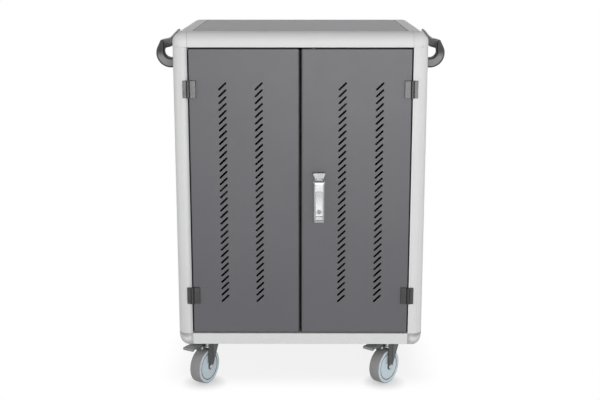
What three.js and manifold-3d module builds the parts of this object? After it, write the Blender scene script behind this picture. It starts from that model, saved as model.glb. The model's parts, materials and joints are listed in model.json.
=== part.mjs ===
// A laptop charging cart: a rounded cabinet on four swivel casters, with two vented front doors,
// a swing-lever lock with rods, two tiers of laptop bays and a rear compartment for the adapters.
// Sizes are in millimetres. X runs across the front to the right, the front faces -Y and Z is up.

import * as THREE from 'three';
import { mergeVertices } from 'three/addons/utils/BufferGeometryUtils.js';
import { RoundedBoxGeometry } from 'three/addons/geometries/RoundedBoxGeometry.js';
import Module from 'manifold-3d';

// Gap left between two fixed pieces that touch, and around a piece that turns
const SEAM = 0.3;
const TURN_GAP = 0.3;
// Laptop bays: the cabinet is built around the racks and the adapter compartment behind them
const BAYS = 10;
const RACK_WIDTH = 596;
const RACK_DEPTH = 343;
const RACK_SIDE_CLEAR = 2;
const RACK_SETBACK = 66.4;
const RACK_BASE = 3;
const FIN_THICKNESS = 3;
const FIN_HEIGHT = 140;
const FIN_SLOPE = 60;
const PARTITION_FROM_REAR = 150;
const PARTITION_THICKNESS = 2;
const CABLE_SLOT_HEIGHT = 40;
const CABLE_SLOT_DROP = 160;
const CABLE_SLOT_SIDE = 60;
const SHELF_THICKNESS = 2;
const SHELF_LIP = 18;
const SHELF_FRONT_CLEAR = 2;
// Cabinet body
const POST = 40;
const BODY_WIDTH = RACK_WIDTH + 2 * (RACK_SIDE_CLEAR + POST);
const BODY_DEPTH = RACK_SETBACK + RACK_DEPTH + 2 * SEAM + PARTITION_FROM_REAR;
const BODY_HEIGHT = 866;
const EDGE_RADIUS = 28;
const TOP_RAIL = 40;
const TOP_SIDE_RAIL = 50;
const BOTTOM_RAIL = 31;
// Folded sheet
const SHEET = 1.5;
const FOLD = 20;
const SIDE_INSET = 3;
const TOP_INSET = 0.8;
const FLOOR_THICKNESS = 3;
// Front and rear doors
const DOOR_SIDE_GAP = 3;
const DOOR_TOP_GAP = 4;
const DOOR_BOTTOM_GAP = 3.5;
const DOOR_CENTRE_GAP = 8.5;
const DOOR_INSET = 1;
const VENT_ROWS = 33;
const VENT_MARGIN = 99;
const LEFT_VENT_COLUMNS = [0.364, 0.695];
const RIGHT_VENT_COLUMNS = [0.371, 0.711];
const VENT_REACH = 23.5;
const VENT_WIDTH = 5.5;
const VENT_SLOPE = 44;
const REAR_VENT_ROWS = 6;
const REAR_VENT_COLUMNS = [-0.6, -0.2, 0.2, 0.6];
// Front hinges
const HINGE_HEIGHT = 47;
const HINGE_INSET = 107;
const LEAF = 5;
const KNUCKLE_RADIUS = 3.6;
const HINGE_PIN_RADIUS = 2;
const FRAME_LEAF_WIDTH = 11;
const DOOR_LEAF_WIDTH = 17;
const KNUCKLE_CLEAR = 0.6;
// Swing-lever lock on the right door
const LOCK_SIDE = 46.8;
const LOCK_RISE = 34;
const LOCK_BASE_WIDTH = 28;
const LOCK_BASE_CHAMFER = 5;
const LOCK_BASE_THICKNESS = 9;
const LOCK_HEAD_WIDTH = 33;
const LOCK_NECK_WIDTH = 22;
const LOCK_HEAD_HEIGHT = 14;
const LOCK_HEAD_CHAMFER = 2;
const LOCK_HEAD_THICKNESS = 18;
const HUB_RADIUS = 13;
const HUB_THICKNESS = 3;
const BOSS_WALL = 2;
const LEVER_WIDTH = 25;
const LEVER_FACE = 17;
const LEVER_THICKNESS = 13;
const LEVER_LENGTH = 108;
const LEVER_TIP_CHAMFER = 4;
const KEY_DROP = 77;
const KEY_RADIUS = 6.2;
const KEY_STICK_OUT = 0.6;
const KEY_SLOT_WIDTH = 1.4;
const KEY_SLOT_LENGTH = 7;
const KEY_SLOT_DEPTH = 3;
const LUG_WIDTH = 10;
const LUG_RADIUS = 5.4;
const LUG_PIN_RADIUS = 2.4;
const LUG_PIN_REACH = 4;
const SPINDLE_RADIUS = 5;
const CRANK_RADIUS = 16;
const CRANK_PIN_RADIUS = 3;
const CRANK_THICKNESS = 4;
const ROD_WIDTH = 8;
const ROD_THICKNESS = 3;
const ROD_STICK_OUT = 1.5;
const ROD_SLACK = 0.5;
const ROD_WALL = 3;
const ROD_PIN_SLACK = 0.22;
// Power strips, inlet and switch
const STRIP_LENGTH = 520;
const STRIP_HEIGHT = 50;
const STRIP_DEPTH = 45;
const STRIP_DROP = 238;
const OUTLETS = 10;
const OUTLET_WIDTH = 26;
const OUTLET_HEIGHT = 20;
const OUTLET_DEPTH = 3;
const INLET_FROM_REAR = 90;
const INLET_RISE = 165;
const INLET_WIDTH = 46;
const INLET_HEIGHT = 68;
const INLET_FLANGE = 6;
const INLET_FLANGE_THICKNESS = 2.4;
const INLET_BODY_DEPTH = 34;
const INLET_RECESS_WIDTH = 24;
const INLET_RECESS_HEIGHT = 17;
const INLET_RECESS_DEPTH = 14;
const SWITCH_WIDTH = 14;
const SWITCH_HEIGHT = 18;
const SWITCH_THICKNESS = 7;
const SWITCH_TILT = 8;
const SWITCH_PIN_RADIUS = 1.5;
const SWITCH_CLEAR = 1.2;
// Rear door pivots and lock
const REAR_PIVOT_SIDE = 10;
const REAR_PIVOT_DEPTH = 7;
const REAR_PIN_RADIUS = 4;
const REAR_PIN_LENGTH = 14;
const REAR_LOCK_SIDE = 26;
const REAR_LOCK_RADIUS = 9.5;
const REAR_LOCK_HEAD = 12;
const REAR_LOCK_HEAD_THICKNESS = 4;
const TONGUE_REACH = 34;
const TONGUE_WIDTH = 14;
const TONGUE_THICKNESS = 3;
// Push handles on the two sides
const HANDLE_LENGTH = 430;
const HANDLE_ARM_DEPTH = 32;
const HANDLE_ARM = 26;
const HANDLE_GRIP_WIDTH = 21;
const HANDLE_REACH = 52.5;
const HANDLE_BEND = 0.75;
const HANDLE_LEAN = 11;
const HANDLE_LEAN_ANGLE = 23;
const HANDLE_RISE = 75;
const HANDLE_TOP_DROP = 25;
const HANDLE_GRIP_HEIGHT = 25;
const HANDLE_WINDOW_ROUND = 14;
// Casters
const CASTER_HEIGHT = 138;
const CASTER_SIDE = 80;
const CASTER_END = 90;
const LEFT_HEADING = 240;
const RIGHT_HEADING = 230;
const CASTER_TRAIL = 30;
const PLATE_LENGTH = 70;
const PLATE_WIDTH = 64;
const PLATE_THICKNESS = 3.9;
const RACE_RADIUS = 25;
const RACE_HEIGHT = 7.4;
const KINGPIN_RADIUS = 6;
const KINGPIN_NUT_RADIUS = 10;
const KINGPIN_NUT_HEIGHT = 7;
const CROWN_THICKNESS = 7;
const CROWN_LENGTH = 58;
const LEG_THICKNESS = 3;
const LEG_CLEAR = 1.2;
const LEG_END_RADIUS = 9;
const LEG_END_START = 207;
const LEG_FRONT = 14;
const LEG_SHOULDER = 6;
const EAR_DROP = 4;
const WHEEL_RADIUS = 50;
const WHEEL_WIDTH = 37;
const WHEEL_FACETS = 32;
const TREAD_THICKNESS = 5;
const WEB_THICKNESS = 33;
const WHEEL_HUB_RADIUS = 13;
const AXLE_RADIUS = 5;
const AXLE_HEAD_RADIUS = 8;
const AXLE_HEAD_THICKNESS = 3;
const BORE_GAP = 0.4;
const PEDAL_PIVOT_TRAIL = 50;
const PEDAL_TIP_TRAIL = 110;
const PEDAL_WIDTH = 34;
const PEDAL_THICKNESS = 5;
const PEDAL_PIN_RADIUS = 3;
const PEDAL_HUB_RADIUS = 6;
const PEDAL_TOP = 3.5;
const PEDAL_CHEEK = 11;
const PEDAL_LIP = 8;
const PEDAL_EDGE = 1.5;

// Levels and faces that several pieces share
const halfWidth = BODY_WIDTH / 2;
const halfDepth = BODY_DEPTH / 2;
const bodyBottom = CASTER_HEIGHT;
const bodyTop = bodyBottom + BODY_HEIGHT;
const openingX = halfWidth - POST;
const openingY = halfDepth - POST;
const openingBottom = bodyBottom + BOTTOM_RAIL;
const openingTop = bodyTop - TOP_RAIL;
const sideOuter = halfWidth - SIDE_INSET;
const sideInner = sideOuter - SHEET;
const doorFront = -halfDepth + DOOR_INSET;
const doorBack = doorFront + FOLD;
const doorBottom = openingBottom + DOOR_BOTTOM_GAP;
const doorTop = openingTop - DOOR_TOP_GAP;
const doorInnerEdge = DOOR_CENTRE_GAP / 2;
const doorOuterEdge = openingX - DOOR_SIDE_GAP;
const plateTop = bodyBottom + PLATE_THICKNESS;
const floorBottom = plateTop + SEAM;
const floorTop = floorBottom + FLOOR_THICKNESS;
const deckTop = bodyTop - TOP_INSET;
const deckUnder = deckTop - SHEET;
const shelfTop = (floorTop + deckUnder) / 2;
const partitionBack = halfDepth - PARTITION_FROM_REAR + PARTITION_THICKNESS;
const partitionFront = halfDepth - PARTITION_FROM_REAR;

const lightGrey = new THREE.MeshStandardMaterial({ color: 0xdadcdb, roughness: 0.5, metalness: 0.1 });
const slateGrey = new THREE.MeshStandardMaterial({ color: 0x6f7478, roughness: 0.55, metalness: 0.2 });
const zincGrey = new THREE.MeshStandardMaterial({ color: 0x9a9da0, roughness: 0.4, metalness: 0.8 });
const darkMetal = new THREE.MeshStandardMaterial({ color: 0x54585b, roughness: 0.5, metalness: 0.6 });
const brightMetal = new THREE.MeshStandardMaterial({ color: 0xc9cccd, roughness: 0.3, metalness: 0.9 });
const blackPlastic = new THREE.MeshStandardMaterial({ color: 0x26282a, roughness: 0.6, metalness: 0 });
const wheelGrey = new THREE.MeshStandardMaterial({ color: 0x9ba3a8, roughness: 0.7, metalness: 0 });

const wasm = await Module();
wasm.setup();

const cart = new THREE.Group();
cart.name = 'laptop_charging_cart';

// Closed body from a geometry, ready to be joined to or cut by another
function solid(geometry) {
  const bare = geometry.clone();
  bare.deleteAttribute('normal');
  bare.deleteAttribute('uv');
  const welded = mergeVertices(bare, 1e-4);
  const vertProperties = new Float32Array(welded.attributes.position.array);
  const triVerts = new Uint32Array(welded.index.array);
  return new wasm.Manifold(new wasm.Mesh({ numProp: 3, vertProperties, triVerts }));
}

// Named mesh from a closed body, added to a parent group
function piece(name, body, finish, parent = cart) {
  const skin = body.getMesh();
  const geometry = new THREE.BufferGeometry();
  geometry.setAttribute('position', new THREE.BufferAttribute(new Float32Array(skin.vertProperties), 3));
  geometry.setIndex(new THREE.BufferAttribute(new Uint32Array(skin.triVerts), 1));
  const faceted = geometry.toNonIndexed();
  faceted.computeVertexNormals();
  const mesh = new THREE.Mesh(faceted, finish);
  mesh.name = name;
  parent.add(mesh);
  return mesh;
}

// Block between two limits on each axis
function block(x0, x1, y0, y1, z0, z1) {
  const geometry = new THREE.BoxGeometry(x1 - x0, y1 - y0, z1 - z0);
  geometry.translate((x0 + x1) / 2, (y0 + y1) / 2, (z0 + z1) / 2);
  return solid(geometry);
}

// Round bar along one axis, between two limits on that axis, centred on the other two values
function bar(axis, radius, from, to, u, v, sides = 20) {
  const geometry = new THREE.CylinderGeometry(radius, radius, to - from, sides);
  const middle = (from + to) / 2;
  if (axis === 'x') {
    geometry.rotateZ(Math.PI / 2).translate(middle, u, v);
  } else if (axis === 'y') {
    geometry.translate(u, middle, v);
  } else {
    geometry.rotateX(Math.PI / 2).translate(u, v, middle);
  }
  return solid(geometry);
}

// Outline of [u, v] points drawn out along one axis: 'y' takes u as X, v as Z; 'x' takes u as Y, v as Z
function drawn(axis, outline, from, to) {
  const shape = new THREE.Shape(outline.map(([u, v]) => new THREE.Vector2(u, v)));
  const geometry = new THREE.ExtrudeGeometry(shape, { depth: to - from, bevelEnabled: false });
  if (axis === 'y') {
    geometry.rotateX(Math.PI / 2).translate(0, to, 0);
  } else if (axis === 'x') {
    geometry.rotateX(Math.PI / 2).rotateZ(Math.PI / 2).translate(from, 0, 0);
  } else {
    geometry.translate(0, 0, from);
  }
  return solid(geometry);
}

// Points on an arc, angles in degrees
function arc(u, v, radius, from, to, steps) {
  const points = [];
  for (let i = 0; i <= steps; i += 1) {
    const angle = THREE.MathUtils.degToRad(from + (to - from) * i / steps);
    points.push([u + radius * Math.cos(angle), v + radius * Math.sin(angle)]);
  }
  return points;
}

const join = (...bodies) => wasm.Manifold.union(bodies);
const cut = (body, ...tools) => body.subtract(wasm.Manifold.union(tools));
const mirrored = (body) => body.mirror([1, 0, 0]);

// Tray folded from sheet: a skin with its four edges turned back, open on one side
function tray(x0, x1, y0, y1, z0, z1, openTo) {
  const inner = [x0 + SHEET, x1 - SHEET, y0 + SHEET, y1 - SHEET, z0 + SHEET, z1 - SHEET];
  const side = ['-x', '+x', '-y', '+y', '-z', '+z'].indexOf(openTo);
  const limits = [x0 - 1, x1 + 1, y0 - 1, y1 + 1, z0 - 1, z1 + 1];
  inner[side] = limits[side];
  return cut(block(x0, x1, y0, y1, z0, z1), block(...inner));
}

// The frame is carved from one rounded block, so that every rounded edge runs on from piece to piece.
// Underneath it is flat from front to rear, and only its two side edges are rounded.
const edge = 1;
const outX = halfWidth + edge;
const outY = halfDepth + edge;
const tallHeight = BODY_HEIGHT + 2 * EDGE_RADIUS;
const rounded = new RoundedBoxGeometry(BODY_WIDTH, BODY_DEPTH, tallHeight, 3, EDGE_RADIUS);
const tallBlock = solid(rounded.translate(0, 0, bodyTop - tallHeight / 2));
const sideRoundX = halfWidth - EDGE_RADIUS;
const sideRoundZ = bodyBottom + EDGE_RADIUS;
const frontView = [
  ...arc(sideRoundX, sideRoundZ, EDGE_RADIUS, -90, 0, 6),
  [outX, sideRoundZ],
  [outX, bodyTop + edge],
  [-outX, bodyTop + edge],
  [-outX, sideRoundZ],
  ...arc(-sideRoundX, sideRoundZ, EDGE_RADIUS, 180, 270, 6),
];
const frameBlock = tallBlock.intersect(drawn('y', frontView, -outY, outY));
const carve = (...limits) => frameBlock.intersect(block(...limits));
const frontBack = -halfDepth + POST;
const topLimits = [openingTop, bodyTop + edge];
const bottomLimits = [bodyBottom - edge, openingBottom];

// Holes in the rear beams for the pivot pins of the rear door
const rearPivotX = -(openingX - REAR_PIVOT_SIDE);
const rearPivotY = halfDepth - REAR_PIVOT_DEPTH;
const rearHole = (from, to) => bar('z', REAR_PIN_RADIUS + TURN_GAP, from, to, rearPivotX, rearPivotY, 20);
const rearHoleDepth = REAR_PIN_LENGTH + TURN_GAP;

const railX = openingX - SEAM;
const railY = openingY - SEAM;
piece('top_front_rail', carve(-railX, railX, -outY, frontBack, ...topLimits), lightGrey);
piece('bottom_front_rail', carve(-railX, railX, -outY, frontBack, ...bottomLimits), lightGrey);
const topRear = carve(-outX, outX, openingY, outY, ...topLimits);
const topRearHole = rearHole(openingTop - 1, openingTop - DOOR_TOP_GAP + rearHoleDepth);
piece('top_rear_beam', cut(topRear, topRearHole), lightGrey);
const topSide = carve(halfWidth - TOP_SIDE_RAIL, outX, -railY, railY, ...topLimits);
piece('top_right_rail', topSide, lightGrey);
piece('top_left_rail', mirrored(topSide), lightGrey);
const rimRear = carve(-outX, outX, openingY, outY, ...bottomLimits);
const rimRight = carve(openingX, outX, -railY, openingY + 1, ...bottomLimits);
const rimHole = rearHole(openingBottom + DOOR_BOTTOM_GAP - rearHoleDepth, openingBottom + 1);
piece('base_rim', cut(join(rimRear, rimRight, mirrored(rimRight)), rimHole), lightGrey);

const cornerTop = carve(openingX, outX, -outY, frontBack, ...topLimits);
const cornerBottom = carve(openingX, outX, -outY, frontBack, ...bottomLimits);
piece('top_right_corner', cornerTop, lightGrey);
piece('top_left_corner', mirrored(cornerTop), lightGrey);
piece('bottom_right_corner', cornerBottom, lightGrey);
piece('bottom_left_corner', mirrored(cornerBottom), lightGrey);

// Rear lock position, and the window that its tongue needs in the door edge and in the post
const rearLockX = openingX - REAR_LOCK_SIDE;
const rearLockZ = (openingBottom + openingTop) / 2;
const rearFace = halfDepth - DOOR_INSET;
const rearInner = rearFace - FOLD;
const tongueBack = rearInner + (FOLD - SHEET - TONGUE_THICKNESS) / 2;
const tongueWindow = block(
  rearLockX + REAR_LOCK_SIDE - 2 * DOOR_SIDE_GAP - SHEET,
  rearLockX + TONGUE_REACH + 2,
  tongueBack - 1,
  tongueBack + TONGUE_THICKNESS + 1,
  rearLockZ - TONGUE_REACH,
  rearLockZ + TONGUE_WIDTH / 2 + 1,
);

const postLimits = [openingBottom + SEAM, openingTop - SEAM];
const frontPost = carve(openingX, outX, -outY, frontBack, ...postLimits);
const rearPost = carve(openingX, outX, openingY, outY, ...postLimits);
piece('front_right_post', frontPost, lightGrey);
piece('front_left_post', mirrored(frontPost), lightGrey);
piece('rear_right_post', cut(rearPost, tongueWindow), lightGrey);
piece('rear_left_post', mirrored(rearPost), lightGrey);

// Panels set between the rails and posts
const deckX = halfWidth - TOP_SIDE_RAIL - SEAM;
piece('top_panel', tray(-deckX, deckX, -railY, railY, deckTop - FOLD, deckTop, '-z'), slateGrey);
piece('floor_panel', block(-railX, railX, -railY, railY, floorBottom, floorTop), slateGrey);
const sideLimits = [-railY, railY, openingBottom + SEAM, openingTop - SEAM];
const sidePanel = tray(sideOuter - FOLD, sideOuter, ...sideLimits, '-x');
piece('left_side_panel', mirrored(sidePanel), slateGrey);

// Power inlet in the right side panel, with the switch above the socket
const inletY = halfDepth - INLET_FROM_REAR;
const inletZ = bodyBottom + INLET_RISE;
const inletFront = sideOuter + SEAM + INLET_FLANGE_THICKNESS;
const inletHole = block(
  sideOuter - FOLD,
  sideOuter + 1,
  inletY - INLET_WIDTH / 2 - SEAM,
  inletY + INLET_WIDTH / 2 + SEAM,
  inletZ - INLET_HEIGHT / 2 - SEAM,
  inletZ + INLET_HEIGHT / 2 + SEAM,
);
piece('right_side_panel', cut(sidePanel, inletHole), slateGrey);

const inletPlate = block(
  sideOuter + SEAM,
  inletFront,
  inletY - INLET_WIDTH / 2 - INLET_FLANGE,
  inletY + INLET_WIDTH / 2 + INLET_FLANGE,
  inletZ - INLET_HEIGHT / 2 - INLET_FLANGE,
  inletZ + INLET_HEIGHT / 2 + INLET_FLANGE,
);
const inletBody = block(
  inletFront - INLET_BODY_DEPTH,
  inletFront - INLET_FLANGE_THICKNESS / 2,
  inletY - INLET_WIDTH / 2,
  inletY + INLET_WIDTH / 2,
  inletZ - INLET_HEIGHT / 2,
  inletZ + INLET_HEIGHT / 2,
);
const socketZ = inletZ - INLET_HEIGHT / 4;
const socketRecess = block(
  inletFront - INLET_RECESS_DEPTH,
  inletFront + 1,
  inletY - INLET_RECESS_WIDTH / 2,
  inletY + INLET_RECESS_WIDTH / 2,
  socketZ - INLET_RECESS_HEIGHT / 2,
  socketZ + INLET_RECESS_HEIGHT / 2,
);
const switchZ = inletZ + INLET_HEIGHT / 4;
const switchX = inletFront - SWITCH_CLEAR;
const switchWell = block(
  switchX - SWITCH_THICKNESS - SWITCH_CLEAR,
  inletFront + 1,
  inletY - SWITCH_WIDTH / 2 - TURN_GAP,
  inletY + SWITCH_WIDTH / 2 + TURN_GAP,
  switchZ - SWITCH_HEIGHT / 2 - SWITCH_CLEAR,
  switchZ + SWITCH_HEIGHT / 2 + SWITCH_CLEAR,
);
const switchPinX = switchX - SWITCH_PIN_RADIUS;
const switchPinReach = SWITCH_WIDTH / 2 + 2;
const switchPinHole = bar(
  'y',
  SWITCH_PIN_RADIUS + TURN_GAP,
  inletY - switchPinReach - TURN_GAP,
  inletY + switchPinReach + TURN_GAP,
  switchPinX,
  switchZ,
  12,
);
const inlet = cut(join(inletPlate, inletBody), socketRecess, switchWell, switchPinHole);
piece('power_inlet', inlet, blackPlastic);

// Rocker built around its own pin, then set off by the tilt
const rocker = join(
  block(
    -SWITCH_THICKNESS + SWITCH_PIN_RADIUS,
    SWITCH_PIN_RADIUS,
    -SWITCH_WIDTH / 2,
    SWITCH_WIDTH / 2,
    -SWITCH_HEIGHT / 2,
    SWITCH_HEIGHT / 2,
  ),
  bar('y', SWITCH_PIN_RADIUS, -switchPinReach, switchPinReach, 0, 0, 12),
);
const rockerMesh = piece('rocker_switch', rocker, blackPlastic);
rockerMesh.position.set(switchPinX, inletY, switchZ);
rockerMesh.rotation.y = -THREE.MathUtils.degToRad(SWITCH_TILT);

// Partition between the laptop bays and the adapter compartment
const partitionSide = sideInner - SEAM;
const partitionWide = block(
  -partitionSide,
  partitionSide,
  partitionFront,
  partitionBack,
  openingBottom + 2 * SEAM + SHEET,
  openingTop - 2 * SEAM - SHEET,
);
const partitionNeck = Math.min(deckX - SHEET, railX) - SEAM;
const partitionTall = block(
  -partitionNeck,
  partitionNeck,
  partitionFront,
  partitionBack,
  floorTop + SEAM,
  deckUnder - SEAM,
);
const cableSlot = (level) => block(
  -railX + CABLE_SLOT_SIDE,
  railX - CABLE_SLOT_SIDE,
  partitionFront - 1,
  partitionBack + 1,
  level - CABLE_SLOT_DROP - CABLE_SLOT_HEIGHT / 2,
  level - CABLE_SLOT_DROP + CABLE_SLOT_HEIGHT / 2,
);
const partitionBody = join(partitionWide, partitionTall);
piece('partition_panel', cut(partitionBody, cableSlot(deckUnder), cableSlot(shelfTop)), slateGrey);

// Upper shelf with its sides folded down against the side panels
const shelfFront = -railY + SHEET + SHELF_FRONT_CLEAR;
const shelfBack = partitionFront - SEAM;
const shelfX = sideInner - SEAM;
const shelfSlab = block(-shelfX, shelfX, shelfFront, shelfBack, shelfTop - SHELF_THICKNESS, shelfTop);
const lipLimits = [shelfTop - SHELF_LIP, shelfTop];
const shelfLip = block(shelfX - SHELF_THICKNESS, shelfX, shelfFront, shelfBack, ...lipLimits);
const shelfNose = block(-shelfX, shelfX, shelfFront, shelfFront + SHELF_THICKNESS, ...lipLimits);
piece('upper_shelf', join(shelfSlab, shelfLip, mirrored(shelfLip), shelfNose), slateGrey);

// Racks: a base with upright fins that part the laptop bays
function rack(level) {
  const low = level + SEAM;
  const back = shelfBack - SEAM;
  const front = back - RACK_DEPTH;
  const finTop = low + RACK_BASE + FIN_HEIGHT;
  const outline = [
    [front, low],
    [back, low],
    [back, finTop],
    [front + FIN_SLOPE, finTop],
    [front, finTop - FIN_SLOPE],
  ];
  const bodies = [block(-RACK_WIDTH / 2, RACK_WIDTH / 2, front, back, low, low + RACK_BASE)];
  const pitch = (RACK_WIDTH - FIN_THICKNESS) / BAYS;
  for (let i = 0; i <= BAYS; i += 1) {
    const x = -RACK_WIDTH / 2 + i * pitch;
    bodies.push(drawn('x', outline, x, x + FIN_THICKNESS));
  }
  return join(...bodies);
}
piece('lower_divider_rack', rack(floorTop), blackPlastic);
piece('upper_divider_rack', rack(shelfTop), blackPlastic);

// Power strips on the back of the partition, one under each cable slot
function powerStrip(level) {
  const front = partitionBack + SEAM;
  const back = front + STRIP_DEPTH;
  const middle = level - STRIP_DROP;
  const strip = block(
    -STRIP_LENGTH / 2,
    STRIP_LENGTH / 2,
    front,
    back,
    middle - STRIP_HEIGHT / 2,
    middle + STRIP_HEIGHT / 2,
  );
  const sockets = [];
  for (let i = 0; i < OUTLETS; i += 1) {
    const x = -STRIP_LENGTH / 2 + (i + 0.5) * STRIP_LENGTH / OUTLETS;
    sockets.push(block(
      x - OUTLET_WIDTH / 2,
      x + OUTLET_WIDTH / 2,
      back - OUTLET_DEPTH,
      back + 1,
      middle - OUTLET_HEIGHT / 2,
      middle + OUTLET_HEIGHT / 2,
    ));
  }
  return cut(strip, ...sockets);
}
piece('upper_power_strip', powerStrip(deckUnder), blackPlastic);
piece('lower_power_strip', powerStrip(shelfTop), blackPlastic);

// Slanted vent slots: one tool for each slot, cut through a door skin between two depths
const ventPitch = (doorTop - doorBottom - 2 * VENT_MARGIN) / (VENT_ROWS - 1);
function ventSlot(x, z, lean, from, to) {
  const along = [Math.cos(lean), Math.sin(lean)];
  const at = (a, b) => [x + along[0] * a - along[1] * b, z + along[1] * a + along[0] * b];
  const r = VENT_WIDTH / 2;
  const reach = VENT_REACH / 2;
  const outline = [
    at(reach, -r),
    at(reach + r, 0),
    at(reach, r),
    at(-reach, r),
    at(-reach - r, 0),
    at(-reach, -r),
  ];
  return drawn('y', outline, from, to);
}

// Slots of one front door, right side
const doorWidth = doorOuterEdge - doorInnerEdge;
function ventTools(shares, lean) {
  const tools = [];
  for (const share of shares) {
    const x = doorInnerEdge + share * doorWidth;
    for (let row = 0; row < VENT_ROWS; row += 1) {
      const z = doorBottom + VENT_MARGIN + row * ventPitch;
      tools.push(ventSlot(x, z, lean, doorFront - 1, doorFront + SHEET + 1));
    }
  }
  return tools;
}
const ventLean = THREE.MathUtils.degToRad(VENT_SLOPE);
const doorTray = tray(doorInnerEdge, doorOuterEdge, doorFront, doorBack, doorBottom, doorTop, '+y');
// The left door is the right one turned over, with slots that lean the same way as on the right
piece('left_door', mirrored(cut(doorTray, ...ventTools(LEFT_VENT_COLUMNS, Math.PI - ventLean))), slateGrey);

// Lock of the right door: pivot line, lever line and the layers of crank and rods behind the skin
const lockX = doorInnerEdge + LOCK_SIDE;
const lockZ = (doorBottom + doorTop) / 2 + LOCK_RISE;
const baseBack = doorFront - SEAM;
const baseFace = baseBack - LOCK_BASE_THICKNESS;
const leverBack = baseFace - TURN_GAP;
const leverFront = leverBack - LEVER_THICKNESS;
const leverPivotY = leverBack - LEVER_THICKNESS / 2;
const leverEnd = lockZ - LEVER_LENGTH;
const crankFront = doorFront + SHEET + 2 * TURN_GAP;
const crankBack = crankFront + CRANK_THICKNESS;
const upperLayer = [crankBack + TURN_GAP, crankBack + TURN_GAP + ROD_THICKNESS];
const lowerLayer = [upperLayer[1] + TURN_GAP, upperLayer[1] + TURN_GAP + ROD_THICKNESS];
const upperRodX = lockX - CRANK_RADIUS;
const lowerRodX = lockX + CRANK_RADIUS;
const rodHole = (x, layer, from, to) => block(
  x - ROD_WIDTH / 2 - ROD_SLACK,
  x + ROD_WIDTH / 2 + ROD_SLACK,
  layer[0] - ROD_SLACK,
  layer[1] + ROD_SLACK,
  from,
  to,
);
const rightDoor = cut(
  doorTray,
  ...ventTools(RIGHT_VENT_COLUMNS, ventLean),
  bar('y', SPINDLE_RADIUS + TURN_GAP, doorFront - 1, doorFront + SHEET + 1, lockX, lockZ, 24),
  rodHole(upperRodX, upperLayer, doorTop - SHEET - 1, doorTop + 1),
  rodHole(lowerRodX, lowerLayer, doorBottom - 1, doorBottom + SHEET + 1),
);
piece('right_door', rightDoor, slateGrey);

// Base plate with a round boss that holds the hub, and a flared head clear of the turning lever
const hubClear = HUB_RADIUS + TURN_GAP;
const bossRadius = hubClear + BOSS_WALL;
const leverRound = LEVER_THICKNESS / 2;
const leverSweep = Math.hypot(LEVER_WIDTH / 2, leverRound) + 2 * TURN_GAP;
const headBottom = lockZ + leverSweep;
const headTop = headBottom + LOCK_HEAD_HEIGHT;
const headOutline = [
  [lockX - LOCK_NECK_WIDTH / 2, headBottom],
  [lockX + LOCK_NECK_WIDTH / 2, headBottom],
  [lockX + LOCK_HEAD_WIDTH / 2, headTop - LOCK_HEAD_CHAMFER],
  [lockX + LOCK_HEAD_WIDTH / 2 - LOCK_HEAD_CHAMFER, headTop],
  [lockX - LOCK_HEAD_WIDTH / 2 + LOCK_HEAD_CHAMFER, headTop],
  [lockX - LOCK_HEAD_WIDTH / 2, headTop - LOCK_HEAD_CHAMFER],
];
const baseOutline = [
  [lockX - LOCK_BASE_WIDTH / 2 + LOCK_BASE_CHAMFER, leverEnd],
  [lockX + LOCK_BASE_WIDTH / 2 - LOCK_BASE_CHAMFER, leverEnd],
  [lockX + LOCK_BASE_WIDTH / 2, leverEnd + LOCK_BASE_CHAMFER],
  [lockX + LOCK_BASE_WIDTH / 2, lockZ],
  [lockX + LOCK_NECK_WIDTH / 2, headBottom + 1],
  [lockX - LOCK_NECK_WIDTH / 2, headBottom + 1],
  [lockX - LOCK_BASE_WIDTH / 2, lockZ],
  [lockX - LOCK_BASE_WIDTH / 2, leverEnd + LOCK_BASE_CHAMFER],
];
const lockBase = cut(
  join(
    drawn('y', baseOutline, baseFace, baseBack),
    bar('y', bossRadius, baseFace, baseBack, lockX, lockZ, 32),
    drawn('y', headOutline, baseBack - LOCK_HEAD_THICKNESS, baseBack),
  ),
  bar('y', hubClear, baseFace - LOCK_HEAD_THICKNESS, baseFace + HUB_THICKNESS + TURN_GAP, lockX, lockZ, 32),
  bar('y', SPINDLE_RADIUS + TURN_GAP, baseFace - 1, baseBack + 1, lockX, lockZ, 24),
);
piece('lock_base', lockBase, zincGrey);

// Spindle: hub with a lug for the lever, shaft through the door, crank with two pins for the rods
const hubBack = baseFace + HUB_THICKNESS;
const hubFront = baseFace;
const crankHalf = CRANK_PIN_RADIUS + 2;
const spindle = join(
  bar('y', HUB_RADIUS, hubFront, hubBack, lockX, lockZ, 32),
  bar('y', SPINDLE_RADIUS, hubBack - 1, crankBack, lockX, lockZ, 24),
  block(
    lockX - LUG_WIDTH / 2,
    lockX + LUG_WIDTH / 2,
    leverPivotY,
    hubBack - 1,
    lockZ - LUG_RADIUS + TURN_GAP,
    lockZ + LUG_RADIUS - TURN_GAP,
  ),
  bar('x', LUG_RADIUS, lockX - LUG_WIDTH / 2, lockX + LUG_WIDTH / 2, leverPivotY, lockZ, 20),
  bar(
    'x',
    LUG_PIN_RADIUS,
    lockX - LUG_WIDTH / 2 - LUG_PIN_REACH,
    lockX + LUG_WIDTH / 2 + LUG_PIN_REACH,
    leverPivotY,
    lockZ,
    16,
  ),
  block(
    upperRodX - crankHalf,
    lowerRodX + crankHalf,
    crankFront,
    crankBack,
    lockZ - crankHalf,
    lockZ + crankHalf,
  ),
  bar('y', CRANK_PIN_RADIUS, crankBack - 1, upperLayer[1], upperRodX, lockZ, 16),
  bar('y', CRANK_PIN_RADIUS, crankBack - 1, lowerLayer[1], lowerRodX, lockZ, 16),
);
piece('lock_spindle', spindle, zincGrey);

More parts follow.
